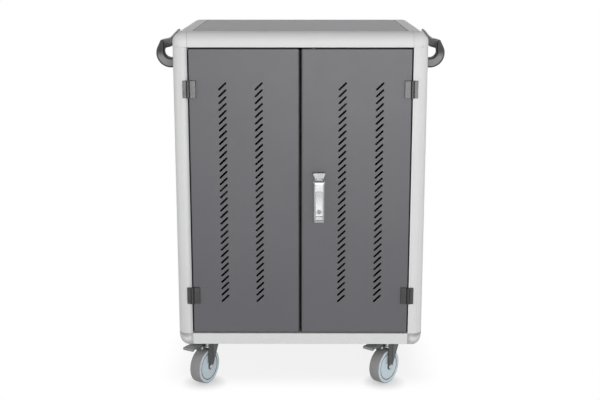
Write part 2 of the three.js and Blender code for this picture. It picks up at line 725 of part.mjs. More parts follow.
// Lever: rounded around its pivot, bevelled along both sides, slotted for the lug, bored for the key
const leverSide = [
  [leverFront, leverEnd + LEVER_TIP_CHAMFER],
  [leverFront + LEVER_TIP_CHAMFER, leverEnd],
  [leverBack, leverEnd],
  ...arc(leverPivotY, lockZ, leverRound, 0, 180, 10),
];
const leverBevel = (LEVER_WIDTH - LEVER_FACE) / 2;
const bevelTool = drawn(
  'z',
  [
    [lockX + LEVER_FACE / 2, leverFront - 1],
    [lockX + LEVER_WIDTH / 2 + 1, leverFront - 1],
    [lockX + LEVER_WIDTH / 2 + 1, leverFront + leverBevel + 1],
    [lockX + LEVER_WIDTH / 2, leverFront + leverBevel],
    [lockX + LEVER_FACE / 2, leverFront],
  ],
  leverEnd - 1,
  lockZ + leverRound + 1,
);
const aroundLock = (body) => body.translate([-lockX, 0, 0]).mirror([1, 0, 0]).translate([lockX, 0, 0]);
const lugSlot = block(
  lockX - LUG_WIDTH / 2 - TURN_GAP,
  lockX + LUG_WIDTH / 2 + TURN_GAP,
  leverFront - 1,
  leverBack + 1,
  lockZ - LUG_RADIUS - 2,
  lockZ + leverRound + 1,
);
const lugPinHole = bar(
  'x',
  LUG_PIN_RADIUS + TURN_GAP,
  lockX - LUG_WIDTH / 2 - LUG_PIN_REACH - TURN_GAP,
  lockX + LUG_WIDTH / 2 + LUG_PIN_REACH + TURN_GAP,
  leverPivotY,
  lockZ,
  16,
);
const keyZ = lockZ - KEY_DROP;
const lever = cut(
  drawn('x', leverSide, lockX - LEVER_WIDTH / 2, lockX + LEVER_WIDTH / 2),
  bevelTool,
  aroundLock(bevelTool),
  lugSlot,
  lugPinHole,
  bar('y', KEY_RADIUS + TURN_GAP, leverFront - 1, leverBack + 1, lockX, keyZ, 24),
);
piece('lock_lever', lever, brightMetal);

// Slot for a key in a round face seen from the front or the rear
const keySlot = (x, z, from, to) => block(
  x - KEY_SLOT_WIDTH / 2,
  x + KEY_SLOT_WIDTH / 2,
  from,
  to,
  z - KEY_SLOT_LENGTH / 2,
  z + KEY_SLOT_LENGTH / 2,
);
const keyFront = leverFront - KEY_STICK_OUT;
const keyBody = bar('y', KEY_RADIUS, keyFront, leverBack - TURN_GAP, lockX, keyZ, 24);
const keyHole = keySlot(lockX, keyZ, keyFront - 1, keyFront + KEY_SLOT_DEPTH);
piece('lock_key_cylinder', cut(keyBody, keyHole), brightMetal);

// Rods: flat bars with a window for the crank pin; the window is long enough for the pin's whole swing
const pinSlack = ROD_PIN_SLACK * CRANK_RADIUS;
function lockRod(layer, x, outward, tip) {
  const room = CRANK_PIN_RADIUS + ROD_SLACK;
  const inward = x < lockX ? 1 : -1;
  const near = x - inward * room;
  const far = x + inward * (CRANK_RADIUS + room);
  const xs = [Math.min(near, far), Math.max(near, far)];
  const inner = lockZ - outward * (room + pinSlack);
  const outer = lockZ + outward * room;
  const zs = [Math.min(inner, outer), Math.max(inner, outer)];
  const eye = block(xs[0] - ROD_WALL, xs[1] + ROD_WALL, ...layer, zs[0] - ROD_WALL, zs[1] + ROD_WALL);
  const window = block(xs[0], xs[1], layer[0] - 1, layer[1] + 1, zs[0], zs[1]);
  const start = outward > 0 ? zs[1] + ROD_WALL - 1 : zs[0] - ROD_WALL + 1;
  const stem = block(
    x - ROD_WIDTH / 2,
    x + ROD_WIDTH / 2,
    ...layer,
    Math.min(start, tip),
    Math.max(start, tip),
  );
  return join(cut(eye, window), stem);
}
piece('upper_lock_rod', lockRod(upperLayer, upperRodX, 1, doorTop + ROD_STICK_OUT), zincGrey);
piece('lower_lock_rod', lockRod(lowerLayer, lowerRodX, -1, doorBottom - ROD_STICK_OUT), zincGrey);

// Front hinges: the frame leaf carries two knuckles and the pin, the door leaf the knuckle between them
const hingeX = openingX - DOOR_SIDE_GAP / 2;
const hingeY = -halfDepth - KNUCKLE_RADIUS - KNUCKLE_CLEAR;
function hingePair(level) {
  const low = level - HINGE_HEIGHT / 2;
  const high = level + HINGE_HEIGHT / 2;
  const third = HINGE_HEIGHT / 3;
  const clear = KNUCKLE_RADIUS + TURN_GAP;
  const frameBack = -halfDepth - SEAM;
  const doorLeafBack = doorFront - SEAM;
  const ring = (from, to) => bar('z', KNUCKLE_RADIUS, from, to, hingeX, hingeY, 20);
  const bridge = (from, to) => block(hingeX, hingeX + clear + 1, frameBack - LEAF, frameBack, from, to);
  const frameLeaf = join(
    block(hingeX + clear, hingeX + clear + FRAME_LEAF_WIDTH, frameBack - LEAF, frameBack, low, high),
    ring(low, low + third),
    ring(high - third, high),
    bridge(low, low + third),
    bridge(high - third, high),
    bar('z', HINGE_PIN_RADIUS, low + 1, high - 1, hingeX, hingeY, 16),
  );
  const midLow = low + third + TURN_GAP;
  const midHigh = high - third - TURN_GAP;
  const doorLeaf = cut(
    join(
      block(hingeX - clear - DOOR_LEAF_WIDTH, hingeX - clear, doorLeafBack - LEAF, doorLeafBack, low, high),
      ring(midLow, midHigh),
      block(hingeX - clear - 1, hingeX, doorLeafBack - LEAF, doorLeafBack, midLow, midHigh),
    ),
    bar('z', HINGE_PIN_RADIUS + TURN_GAP, low - 1, high + 1, hingeX, hingeY, 16),
  );
  return { frameLeaf, doorLeaf };
}
for (const [place, level] of [['upper', doorTop - HINGE_INSET], ['lower', doorBottom + HINGE_INSET]]) {
  const pair = hingePair(level);
  piece(`right_${place}_hinge_frame_leaf`, pair.frameLeaf, darkMetal);
  piece(`right_${place}_hinge_door_leaf`, pair.doorLeaf, darkMetal);
  piece(`left_${place}_hinge_frame_leaf`, mirrored(pair.frameLeaf), darkMetal);
  piece(`left_${place}_hinge_door_leaf`, mirrored(pair.doorLeaf), darkMetal);
}

// Rear door, one leaf on two pivot pins, with a turning lock
const rearDoorX = openingX - DOOR_SIDE_GAP;
const rearTray = tray(-rearDoorX, rearDoorX, rearInner, rearFace, doorBottom, doorTop, '-y');
const rearPin = (from, to) => bar('z', REAR_PIN_RADIUS, from, to, rearPivotX, rearPivotY, 20);
const rearBlock = (from, to) => block(
  -rearDoorX + SHEET / 2,
  rearPivotX + REAR_PIN_RADIUS + 2,
  rearPivotY - REAR_PIN_RADIUS - 2,
  rearFace - SHEET / 2,
  from,
  to,
);
const rearVents = [];
for (const share of REAR_VENT_COLUMNS) {
  for (let row = 0; row < REAR_VENT_ROWS; row += 1) {
    const rise = VENT_MARGIN + row * ventPitch;
    for (const z of [doorBottom + rise, doorTop - rise]) {
      rearVents.push(ventSlot(share * rearDoorX, z, ventLean, rearFace - SHEET - 1, rearFace + 1));
    }
  }
}
const rearDoor = cut(
  join(
    rearTray,
    rearBlock(doorTop - FOLD, doorTop - SHEET / 2),
    rearBlock(doorBottom + SHEET / 2, doorBottom + FOLD),
    rearPin(doorTop - FOLD, doorTop + REAR_PIN_LENGTH),
    rearPin(doorBottom - REAR_PIN_LENGTH, doorBottom + FOLD),
  ),
  tongueWindow,
  ...rearVents,
  bar('y', REAR_LOCK_RADIUS + TURN_GAP, rearFace - SHEET - 1, rearFace + 1, rearLockX, rearLockZ, 24),
);
piece('rear_door', rearDoor, slateGrey);

const rearLockFace = rearFace + SEAM + REAR_LOCK_HEAD_THICKNESS;
const rearLock = cut(
  join(
    bar('y', REAR_LOCK_HEAD, rearFace + SEAM, rearLockFace, rearLockX, rearLockZ, 24),
    bar('y', REAR_LOCK_RADIUS, tongueBack + 1, rearFace + 1, rearLockX, rearLockZ, 24),
    block(
      rearLockX - TONGUE_WIDTH / 2,
      rearLockX + TONGUE_WIDTH / 2,
      tongueBack,
      tongueBack + TONGUE_THICKNESS,
      rearLockZ - TONGUE_REACH,
      rearLockZ + TONGUE_WIDTH / 2,
    ),
  ),
  keySlot(rearLockX, rearLockZ, rearLockFace - KEY_SLOT_DEPTH, rearLockFace + 1),
);
piece('rear_lock', rearLock, zincGrey);

// Push handle: a hooked profile that leans in at the top, drawn along the side and opened below the grip
const handleRoot = sideOuter + SEAM;
const handleOut = handleRoot + HANDLE_REACH;
const handleTop = bodyTop - HANDLE_TOP_DROP;
const handleLow = handleTop - HANDLE_RISE;
const gripRound = (HANDLE_GRIP_WIDTH - HANDLE_LEAN) / 2;
const bendOuter = HANDLE_REACH * HANDLE_BEND;
const bendInner = bendOuter - HANDLE_GRIP_WIDTH;
const bendX = handleOut - bendOuter;
const handleProfile = [
  [handleRoot, handleLow],
  ...arc(bendX, handleLow + bendOuter, bendOuter, -90, HANDLE_LEAN_ANGLE, 8),
  ...arc(handleOut - HANDLE_LEAN - gripRound, handleTop - gripRound, gripRound, HANDLE_LEAN_ANGLE, 180, 6),
  ...arc(bendX, handleLow + HANDLE_ARM + bendInner, bendInner, 0, -90, 5),
  [handleRoot, handleLow + HANDLE_ARM],
];
const windowY = HANDLE_LENGTH / 2 - HANDLE_ARM_DEPTH;
const gripLow = handleTop - HANDLE_GRIP_HEIGHT;
const handleWindow = drawn(
  'x',
  [
    [-windowY, handleLow - 1],
    [windowY, handleLow - 1],
    ...arc(windowY - HANDLE_WINDOW_ROUND, gripLow - HANDLE_WINDOW_ROUND, HANDLE_WINDOW_ROUND, 0, 90, 4),
    ...arc(-windowY + HANDLE_WINDOW_ROUND, gripLow - HANDLE_WINDOW_ROUND, HANDLE_WINDOW_ROUND, 90, 180, 4),
  ],
  handleRoot - 1,
  handleOut + 1,
);
const handle = cut(drawn('y', handleProfile, -HANDLE_LENGTH / 2, HANDLE_LENGTH / 2), handleWindow);
piece('right_handle', handle, blackPlastic);
piece('left_handle', mirrored(handle), blackPlastic);

// Casters, built at the origin with the wheel trailing along +X, then set at the four corners
const crownTop = bodyBottom - RACE_HEIGHT - SEAM;
const crownBottom = crownTop - CROWN_THICKNESS;
const nutTop = crownBottom - SEAM;
const legInner = WHEEL_WIDTH / 2 + LEG_CLEAR;
const legOuter = legInner + LEG_THICKNESS;
const legBack = CASTER_TRAIL + LEG_END_RADIUS;
const crownFront = -CROWN_LENGTH / 2;
const crownRear = CROWN_LENGTH / 2;
const pedalZ = crownBottom + CROWN_THICKNESS / 2 - PEDAL_HUB_RADIUS + 2;

const casterPlate = join(
  block(-PLATE_LENGTH / 2, PLATE_LENGTH / 2, -PLATE_WIDTH / 2, PLATE_WIDTH / 2, bodyBottom, plateTop),
  bar('z', RACE_RADIUS, bodyBottom - RACE_HEIGHT, bodyBottom + 1, 0, 0, 32),
  bar('z', KINGPIN_RADIUS, nutTop - KINGPIN_NUT_HEIGHT, bodyBottom, 0, 0, 20),
  bar('z', KINGPIN_NUT_RADIUS, nutTop - KINGPIN_NUT_HEIGHT, nutTop, 0, 0, 6),
);

const axleHead = (from, to) => bar('y', AXLE_HEAD_RADIUS, from, to, CASTER_TRAIL, WHEEL_RADIUS, 6);
function casterFork(braked) {
  const earX = PEDAL_PIVOT_TRAIL + PEDAL_HUB_RADIUS;
  const earLow = pedalZ - PEDAL_HUB_RADIUS;
  const ear = [
    [legBack, earLow - EAR_DROP],
    [earX, earLow],
    [earX, crownTop],
  ];
  const legOutline = [
    [-LEG_FRONT, crownTop],
    [-LEG_FRONT, crownBottom - LEG_SHOULDER],
    ...arc(CASTER_TRAIL, WHEEL_RADIUS, LEG_END_RADIUS, LEG_END_START, 360, 8),
    ...(braked ? ear : [[legBack, crownTop]]),
  ];
  const bodies = [
    block(crownFront, crownRear, -legOuter, legOuter, crownBottom, crownTop),
    drawn('y', legOutline, legInner, legOuter),
    drawn('y', legOutline, -legOuter, -legInner),
    bar('y', AXLE_RADIUS, -legOuter - 1, legOuter + 1, CASTER_TRAIL, WHEEL_RADIUS, 20),
    axleHead(legOuter - 1, legOuter + AXLE_HEAD_THICKNESS),
    axleHead(-legOuter - AXLE_HEAD_THICKNESS, -legOuter + 1),
  ];
  if (braked) {
    bodies.push(bar('y', PEDAL_PIN_RADIUS, -legOuter, legOuter, PEDAL_PIVOT_TRAIL, pedalZ, 16));
  }
  return cut(join(...bodies), bar('z', KINGPIN_RADIUS + TURN_GAP, crownBottom - 1, crownTop + 1, 0, 0, 20));
}

// Wheel with a moulded tread, turned about its own axle; a flat of the tread lies on the floor
function casterWheel() {
  const rim = WHEEL_RADIUS / Math.cos(Math.PI / WHEEL_FACETS);
  const inside = rim - TREAD_THICKNESS;
  const w = WHEEL_WIDTH / 2;
  const web = WEB_THICKNESS / 2;
  const bore = AXLE_RADIUS + BORE_GAP;
  const profile = [
    [bore, -w],
    [WHEEL_HUB_RADIUS, -w],
    [WHEEL_HUB_RADIUS + 2, -web],
    [inside - 2, -web],
    [inside, -w],
    [rim, -w + 4],
    [rim, w - 4],
    [inside, w],
    [inside - 2, web],
    [WHEEL_HUB_RADIUS + 2, web],
    [WHEEL_HUB_RADIUS, w],
    [bore, w],
    [bore, -w],
  ];
  const points = profile.map(([r, y]) => new THREE.Vector2(r, y));
  const turned = new THREE.LatheGeometry(points, WHEEL_FACETS);
  turned.rotateY(Math.PI / WHEEL_FACETS);
  return solid(turned);
}

// Brake pedal on its cross pin, built around the pin
const pedalReach = PEDAL_TIP_TRAIL - PEDAL_PIVOT_TRAIL;
const pedalUnder = PEDAL_TOP - PEDAL_THICKNESS;
const lipLow = PEDAL_TOP - PEDAL_LIP;
const pedalOutline = [
  ...arc(0, 0, PEDAL_HUB_RADIUS, 90, 240, 6),
  [pedalReach * 0.12, -PEDAL_CHEEK],
  [pedalReach * 0.36, -PEDAL_CHEEK],
  [pedalReach * 0.44, pedalUnder],
  [pedalReach - PEDAL_THICKNESS - PEDAL_EDGE, pedalUnder],
  [pedalReach - PEDAL_THICKNESS, lipLow],
  [pedalReach - PEDAL_EDGE, lipLow],
  [pedalReach, lipLow + PEDAL_EDGE],
  [pedalReach, PEDAL_TOP - PEDAL_EDGE],
  [pedalReach - PEDAL_EDGE, PEDAL_TOP],
  [pedalReach * 0.2, PEDAL_TOP],
];
const brakePedal = cut(
  drawn('y', pedalOutline, -PEDAL_WIDTH / 2, PEDAL_WIDTH / 2),
  bar('y', PEDAL_PIN_RADIUS + TURN_GAP, -PEDAL_WIDTH, PEDAL_WIDTH, 0, 0, 16),
);

const wheelBody = casterWheel();
const corners = [
  ['front_left', -1, -1],
  ['front_right', 1, -1],
  ['rear_left', -1, 1],
  ['rear_right', 1, 1],
];
for (const [place, sx, sy] of corners) {
  const braked = sy < 0;
  const stand = new THREE.Group();
  stand.position.set(sx * (halfWidth - CASTER_SIDE), sy * (halfDepth - CASTER_END), 0);
  cart.add(stand);
  piece(`${place}_caster_plate`, casterPlate, zincGrey, stand);
  const swivel = new THREE.Group();
  swivel.rotation.z = THREE.MathUtils.degToRad(sx < 0 ? LEFT_HEADING : RIGHT_HEADING);
  stand.add(swivel);
  piece(`${place}_caster_fork`, casterFork(braked), darkMetal, swivel);
  const wheel = piece(`${place}_wheel`, wheelBody, wheelGrey, swivel);
  wheel.position.set(CASTER_TRAIL, 0, WHEEL_RADIUS);
  if (braked) {
    const pedal = piece(`${place}_brake_pedal`, brakePedal, darkMetal, swivel);
    pedal.position.set(PEDAL_PIVOT_TRAIL, 0, pedalZ);
  }
}

// The origin lies on the floor under the middle of the whole outline
cart.updateMatrixWorld(true);
const outline = new THREE.Box3().setFromObject(cart, true);
cart.position.y = -(outline.min.y + outline.max.y) / 2;

export default cart;
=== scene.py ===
# %% [markdown]
# # A laptop charging cart, dressed over its CAD frame
# The CAD model fixes every size and every joint of the cart. This lesson gives each solid the looks of
# the real thing: rounded edges, folded sheet, vent slots, fasteners and finishes. Each piece is built in
# place, rides on the body that carries it, and stands for the plain solid underneath.

# %% Load the CAD frame
import json
from math import atan2, cos, pi, radians, sin

import bmesh
import bpy
from mathutils import Matrix, Vector


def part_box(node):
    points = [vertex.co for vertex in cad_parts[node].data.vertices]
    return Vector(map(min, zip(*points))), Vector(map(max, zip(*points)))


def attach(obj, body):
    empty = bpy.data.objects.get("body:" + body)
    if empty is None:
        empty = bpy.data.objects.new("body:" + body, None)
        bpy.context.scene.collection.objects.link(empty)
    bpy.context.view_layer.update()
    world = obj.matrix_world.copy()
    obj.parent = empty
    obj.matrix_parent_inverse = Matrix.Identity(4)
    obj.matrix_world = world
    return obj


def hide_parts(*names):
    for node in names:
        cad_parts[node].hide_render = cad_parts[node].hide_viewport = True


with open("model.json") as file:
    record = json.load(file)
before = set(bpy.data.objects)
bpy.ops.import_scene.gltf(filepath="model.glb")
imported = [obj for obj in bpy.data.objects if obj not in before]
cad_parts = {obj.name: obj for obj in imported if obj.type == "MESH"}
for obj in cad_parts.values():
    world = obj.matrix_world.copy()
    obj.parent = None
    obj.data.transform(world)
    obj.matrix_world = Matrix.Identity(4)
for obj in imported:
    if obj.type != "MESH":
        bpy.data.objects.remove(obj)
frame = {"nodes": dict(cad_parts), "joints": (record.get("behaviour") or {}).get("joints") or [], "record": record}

MM = 0.001
scene = bpy.context.scene
scene.view_settings.view_transform = "Standard"
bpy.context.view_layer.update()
joints = {joint["name"]: joint for joint in frame["joints"]}
bodies = frame["record"]["behaviour"]["bodies"]
carrier = {node: body for body, nodes in bodies.items() for node in nodes}

# %% [markdown]
# ## Camera
# The photograph looks at the front from a little above the top panel. A long lens keeps the upright edges
# nearly parallel. The place and tilt come from matching the corners of the cabinet to the picture.

# %% Camera in front of the cart
camera = bpy.data.objects.new("camera", bpy.data.cameras.new("camera"))
camera.data.sensor_width = 36
camera.data.lens = 66.0
camera.location = (0.01115, -3.18697, 1.2152)
camera.rotation_euler = (radians(90 - 12.817), 0, radians(0.235))
scene.collection.objects.link(camera)
scene.camera = camera
print("camera", [round(value, 3) for value in camera.location], "lens", camera.data.lens, "mm")

# %% [markdown]
# ## Helpers for shader trees
# A finish is a small tree of nodes around one Principled shader. Noise on the piece's own coordinates gives
# the slow drift of tone in paint, the fine grain of a coating and the uneven gloss of metal. Constant
# values go straight onto the shader's sockets, so that they survive an export.

# %% Small helpers for shader trees
def add_node(tree, kind, sockets=None, **settings):
    """Add a node, set its options, and link or set its sockets by name or by number."""
    made = tree.nodes.new(kind)
    for option, value in settings.items():
        setattr(made, option, value)
    for socket, value in (sockets or {}).items():
        if isinstance(value, bpy.types.NodeSocket):
            tree.links.new(value, made.inputs[socket])
        else:
            made.inputs[socket].default_value = value
    return made


def reckon(tree, operation, first, second):
    """Number from two numbers."""
    return add_node(tree, "ShaderNodeMath", {0: first, 1: second}, operation=operation).outputs[0]


def speckle(tree, scale, detail=2.0, stretch=(1, 1, 1)):
    """Noise on the piece's own coordinates, from 0 to 1, stretched where the surface has a direction."""
    place = add_node(tree, "ShaderNodeTexCoord").outputs["Object"]
    turned_place = add_node(tree, "ShaderNodeMapping", {"Vector": place, "Scale": stretch}).outputs[0]
    return add_node(tree, "ShaderNodeTexNoise", {"Vector": turned_place, "Scale": scale, "Detail": detail}).outputs[0]


def spread(tree, value, low, high):
    """Spread a noise value over a range."""
    limits = {"Value": value, "From Min": 0.3, "From Max": 0.7, "To Min": low, "To Max": high}
    return add_node(tree, "ShaderNodeMapRange", limits).outputs[0]


def tone(tree, value, dark, light):
    """Colour between two tones, picked by a noise value."""
    ramp = add_node(tree, "ShaderNodeValToRGB", {"Fac": value})
    ramp.color_ramp.elements[0].position = 0.3
    ramp.color_ramp.elements[1].position = 0.7
    ramp.color_ramp.elements[0].color = (*dark, 1)
    ramp.color_ramp.elements[1].color = (*light, 1)
    return ramp.outputs[0]


def new_finish(name, colour, gloss, metal, grain, depth):
    """Material from its colour, roughness and bump sources, each made by a function of the tree."""
    material = bpy.data.materials.new(name)
    material.use_nodes = True
    tree = material.node_tree
    surface = tree.nodes["Principled BSDF"]
    surface.inputs["Metallic"].default_value = metal
    tree.links.new(colour(tree), surface.inputs["Base Color"])
    tree.links.new(gloss(tree), surface.inputs["Roughness"])
    bump = add_node(tree, "ShaderNodeBump", {"Height": grain(tree), "Distance": depth, "Strength": 1.0})
    tree.links.new(bump.outputs[0], surface.inputs["Normal"])
    print("finish", name, "with", len(tree.nodes), "nodes")
    return material

# %% [markdown]
# ## Painted finishes
# The frame and the panels carry powder coat. Baked powder is even in colour but never mirror flat: it has a
# fine orange-peel texture and a satin gloss. Two tones a few percent apart and a bump of a few hundredths of
# a millimetre are enough, because the eye reads the broken highlight and not the texture itself.

# %% Light grey and slate powder coat
def powder_coat(name, dark, light, rough):
    return new_finish(
        name,
        lambda tree: tone(tree, speckle(tree, 4.0, 3.0), dark, light),
        lambda tree: spread(tree, speckle(tree, 35.0), rough - 0.015, rough + 0.015),
        0.0,
        lambda tree: speckle(tree, 1100.0, 1.0),
        0.00003,
    )


frame_paint = powder_coat("light grey powder coat", (0.600, 0.602, 0.603), (0.620, 0.621, 0.621), 0.52)
panel_paint = powder_coat("slate powder coat", (0.081, 0.080, 0.090), (0.087, 0.086, 0.096), 0.42)

# %% [markdown]
# ## Plastics and rubber
# The push handles are moulded in dark grey plastic with a spark-eroded grain. The racks, the power strips and
# the switch are black. The tread is a grey rubber that doesn't mark floors, on a pale blue-grey wheel disc.

# %% Moulded plastics and rubber
def moulded(name, dark, light, rough, grain, depth):
    return new_finish(
        name,
        lambda tree: tone(tree, speckle(tree, 18.0, 4.0), dark, light),
        lambda tree: spread(tree, speckle(tree, 90.0), rough - 0.06, rough + 0.06),
        0.0,
        lambda tree: speckle(tree, grain, 2.0),
        depth,
    )


handle_plastic = moulded("dark grey grained plastic", (0.115, 0.115, 0.117), (0.135, 0.135, 0.137), 0.36, 1500.0, 0.00005)
# Darker copy of the handle plastic: painted shade on the handles' rims and inner sides and in the wheel groove.
shaded_plastic = moulded("dark grey plastic with painted shade", (0.022, 0.022, 0.023), (0.032, 0.032, 0.033), 0.50, 1500.0, 0.00005)
rack_plastic = moulded("black rack plastic", (0.022, 0.022, 0.023), (0.032, 0.032, 0.034), 0.50, 1200.0, 0.00005)
power_plastic = moulded("black housing plastic", (0.026, 0.026, 0.028), (0.036, 0.036, 0.038), 0.40, 1800.0, 0.00003)
outlet_plastic = moulded("grey outlet plastic", (0.16, 0.16, 0.165), (0.19, 0.19, 0.195), 0.35, 1800.0, 0.00002)
switch_plastic = moulded("glossy switch plastic", (0.020, 0.020, 0.021), (0.026, 0.026, 0.027), 0.22, 900.0, 0.00001)
tread_rubber = moulded("grey tread rubber", (0.235, 0.230, 0.232), (0.275, 0.268, 0.270), 0.72, 700.0, 0.00010)
disc_plastic = moulded("pale wheel disc", (0.490, 0.580, 0.625), (0.530, 0.620, 0.665), 0.36, 900.0, 0.00004)
seal_rubber = moulded("black edge rubber", (0.018, 0.018, 0.018), (0.028, 0.028, 0.028), 0.62, 800.0, 0.00008)

# %% [markdown]
# ## Metals
# The lock is satin chrome, brushed along its length. Rods, plates and fasteners are zinc plated, which leaves
# a mottled grey. The hinges are cast and painted dark, and the forks are pressed steel with a black coating.

# %% Chrome, zinc, cast and black steel
def metal(name, dark, light, rough, metallic, grain, stretch, depth):
    return new_finish(
        name,
        lambda tree: tone(tree, speckle(tree, 55.0, 4.0), dark, light),
        lambda tree: spread(tree, speckle(tree, grain, 3.0, stretch), rough - 0.07, rough + 0.07),
        metallic,
        lambda tree: speckle(tree, grain, 2.0, stretch),
        depth,
    )


lock_chrome = metal("satin chrome", (0.23, 0.24, 0.25), (0.27, 0.28, 0.29), 0.28, 1.0, 1400.0, (1, 1, 0.03), 0.000012)
lever_chrome = metal("lever chrome", (0.39, 0.40, 0.41), (0.45, 0.46, 0.47), 0.28, 1.0, 1400.0, (1, 1, 0.03), 0.000010)
cap_chrome = metal("bright chrome", (0.46, 0.47, 0.48), (0.50, 0.51, 0.52), 0.20, 1.0, 1400.0, (1, 1, 0.03), 0.000008)
key_nickel = metal("dull nickel", (0.19, 0.19, 0.195), (0.27, 0.27, 0.275), 0.32, 1.0, 900.0, (1, 1, 1), 0.00001)
shaded_zinc = metal("zinc with painted shade", (0.28, 0.28, 0.29), (0.40, 0.40, 0.41), 0.36, 1.0, 500.0, (1, 1, 1), 0.00002)
zinc_steel = metal("zinc plate", (0.44, 0.45, 0.46), (0.58, 0.59, 0.59), 0.34, 1.0, 500.0, (1, 1, 1), 0.00002)
hinge_metal = metal("dark cast metal", (0.012, 0.012, 0.013), (0.018, 0.018, 0.019), 0.55, 0.0, 900.0, (1, 1, 1), 0.00004)
hinge_face = metal("glossy cast face", (0.036, 0.036, 0.037), (0.046, 0.046, 0.047), 0.13, 0.0, 160.0, (1, 1, 1), 0.000006)
fork_metal = metal("black coated steel", (0.030, 0.032, 0.034), (0.042, 0.044, 0.047), 0.42, 0.0, 1100.0, (1, 1, 1), 0.00003)
lit_pedal_steel = metal("pedal steel with painted light", (0.20, 0.202, 0.206), (0.26, 0.262, 0.266), 0.40, 0.2, 1100.0, (1, 1, 0.05), 0.00002)
rod_and_rib_sheen_steel = metal("grey steel, painted sheen on ribs", (0.085, 0.087, 0.090), (0.120, 0.122, 0.126), 0.40, 0.2, 1100.0, (1, 1, 0.05), 0.00002)

# %% Finishes with painted light and shade by height
def painted_light_by_height(name, low, high, upper, lower, rough, metallic, grain, stretch, depth):
    """Finish with painted light and shade by height: one tone below a level and another above a second level."""
    def by_height(tree):
        place = add_node(tree, "ShaderNodeTexCoord").outputs["Object"]
        level = add_node(tree, "ShaderNodeSeparateXYZ", {0: place}).outputs["Z"]
        uneven = reckon(tree, "ADD", level, spread(tree, speckle(tree, 220.0, 2.0), -0.0007, 0.0007))
        share = add_node(tree, "ShaderNodeMapRange", {
            "Value": uneven, "From Min": low, "From Max": high, "To Min": 0.7, "To Max": 0.3,
        }, interpolation_type="SMOOTHSTEP").outputs[0]
        return tone(tree, share, upper, lower)

    return new_finish(
        name,
        by_height,
        lambda tree: spread(tree, speckle(tree, grain, 3.0, stretch), rough - 0.03, rough + 0.03),
        metallic,
        lambda tree: speckle(tree, grain, 2.0, stretch),
        depth,
    )

# %% [markdown]
# ## Helpers for shapes
# Most pieces start as blocks, drawn-out outlines and turned profiles in a bmesh. Boolean cuts give openings,
# and a bevel with weighted normals gives the small round edge that every pressed, moulded or cast piece has.
# The result is frozen to a plain mesh, with its place in the mesh and its object at the origin.

# %% Blocks, drawn outlines and turned profiles
def add_block(shape, low, high):
    """Add a block between two corners."""
    made = bmesh.ops.create_cube(shape, size=1)["verts"]
    for vertex in made:
        vertex.co = [low[i] if vertex.co[i] < 0 else high[i] for i in range(3)]
    return made


def add_drawn(shape, axis, outline, *levels):
    """Draw an outline out along an axis: 'x' takes points as (y, z), 'y' as (x, z) and 'z' as (x, y)."""
    rings = []
    for level in levels:
        spots = {"x": lambda u, v: (level, u, v), "y": lambda u, v: (u, level, v), "z": lambda u, v: (u, v, level)}
        rings.append([shape.verts.new(spots[axis](u, v)) for u, v in outline])
    count = len(outline)
    shape.faces.new(rings[0])
    shape.faces.new(rings[-1])
    for near, far in zip(rings, rings[1:]):
        for i in range(count):
            j = (i + 1) % count
            shape.faces.new((near[i], near[j], far[j], far[i]))
    return [vertex for ring in rings for vertex in ring]


def add_turned(shape, profile, steps, place):
    """Turn a profile of (radius, height) about the Z axis of a placing matrix; a radius of 0 closes an end."""
    rings = []
    for radius, height in profile:
        turns = steps if radius > 0 else 1
        angles = [2 * pi * i / steps for i in range(turns)]
        rings.append([shape.verts.new(place @ Vector((radius * cos(a), radius * sin(a), height))) for a in angles])
    for low, high in zip(rings, rings[1:]):
        for i in range(steps):
            j = (i + 1) % steps
            corners = [low[i % len(low)], low[j % len(low)], high[j % len(high)], high[i % len(high)]]
            shape.faces.new(list(dict.fromkeys(corners)))
    return [vertex for ring in rings for vertex in ring]


def arc(u, v, radius, start, end, steps):
    """Points on an arc, angles in degrees."""
    angles = [radians(start + (end - start) * i / steps) for i in range(steps + 1)]
    return [(u + radius * cos(a), v + radius * sin(a)) for a in angles]


def along(point, direction):
    """Placing matrix whose Z axis points in a direction from a point."""
    return Matrix.Translation(point) @ Vector(direction).to_track_quat("Z", "Y").to_matrix().to_4x4()


def pin(shape, point, direction, radius, length, steps=32, chamfer=0.0):
    """Round bar from a point, with both ends closed and chamfered."""
    ends = [(0, 0), (radius - chamfer, 0), (radius, chamfer), (radius, length - chamfer), (radius - chamfer, length), (0, length)]
    profile = ends if chamfer else [(0, 0), (radius, 0), (radius, length), (0, length)]
    return add_turned(shape, profile, steps, along(point, direction))

# %% Objects, cuts and rounded edges
def as_object(name, shape, finish):
    """Object at the origin from a bmesh, with its faces turned outwards."""
    shape.normal_update()
    bmesh.ops.recalc_face_normals(shape, faces=shape.faces)
    mesh = bpy.data.meshes.new(name)
    shape.to_mesh(mesh)
    shape.free()
    made = bpy.data.objects.new(name, mesh)
    scene.collection.objects.link(made)
    mesh.materials.append(finish)
    return made


def frozen(made):
    """Keep what the modifiers give as a plain mesh."""
    graph = bpy.context.evaluated_depsgraph_get()
    mesh = bpy.data.meshes.new_from_object(made.evaluated_get(graph), depsgraph=graph)
    made.modifiers.clear()
    made.data = mesh
    return made


def carve(made, shape, operation="DIFFERENCE", overlaps=False):
    """Cut a shape out of an object, join it on, or keep only what lies inside it."""
    tool = as_object("tool", shape, made.data.materials[0])
    cutter = made.modifiers.new("cut", "BOOLEAN")
    cutter.operation = operation
    cutter.solver = "EXACT"
    cutter.use_self = overlaps
    cutter.object = tool
    frozen(made)
    bpy.data.objects.remove(tool)
    return made


WELD = 0.004 * MM


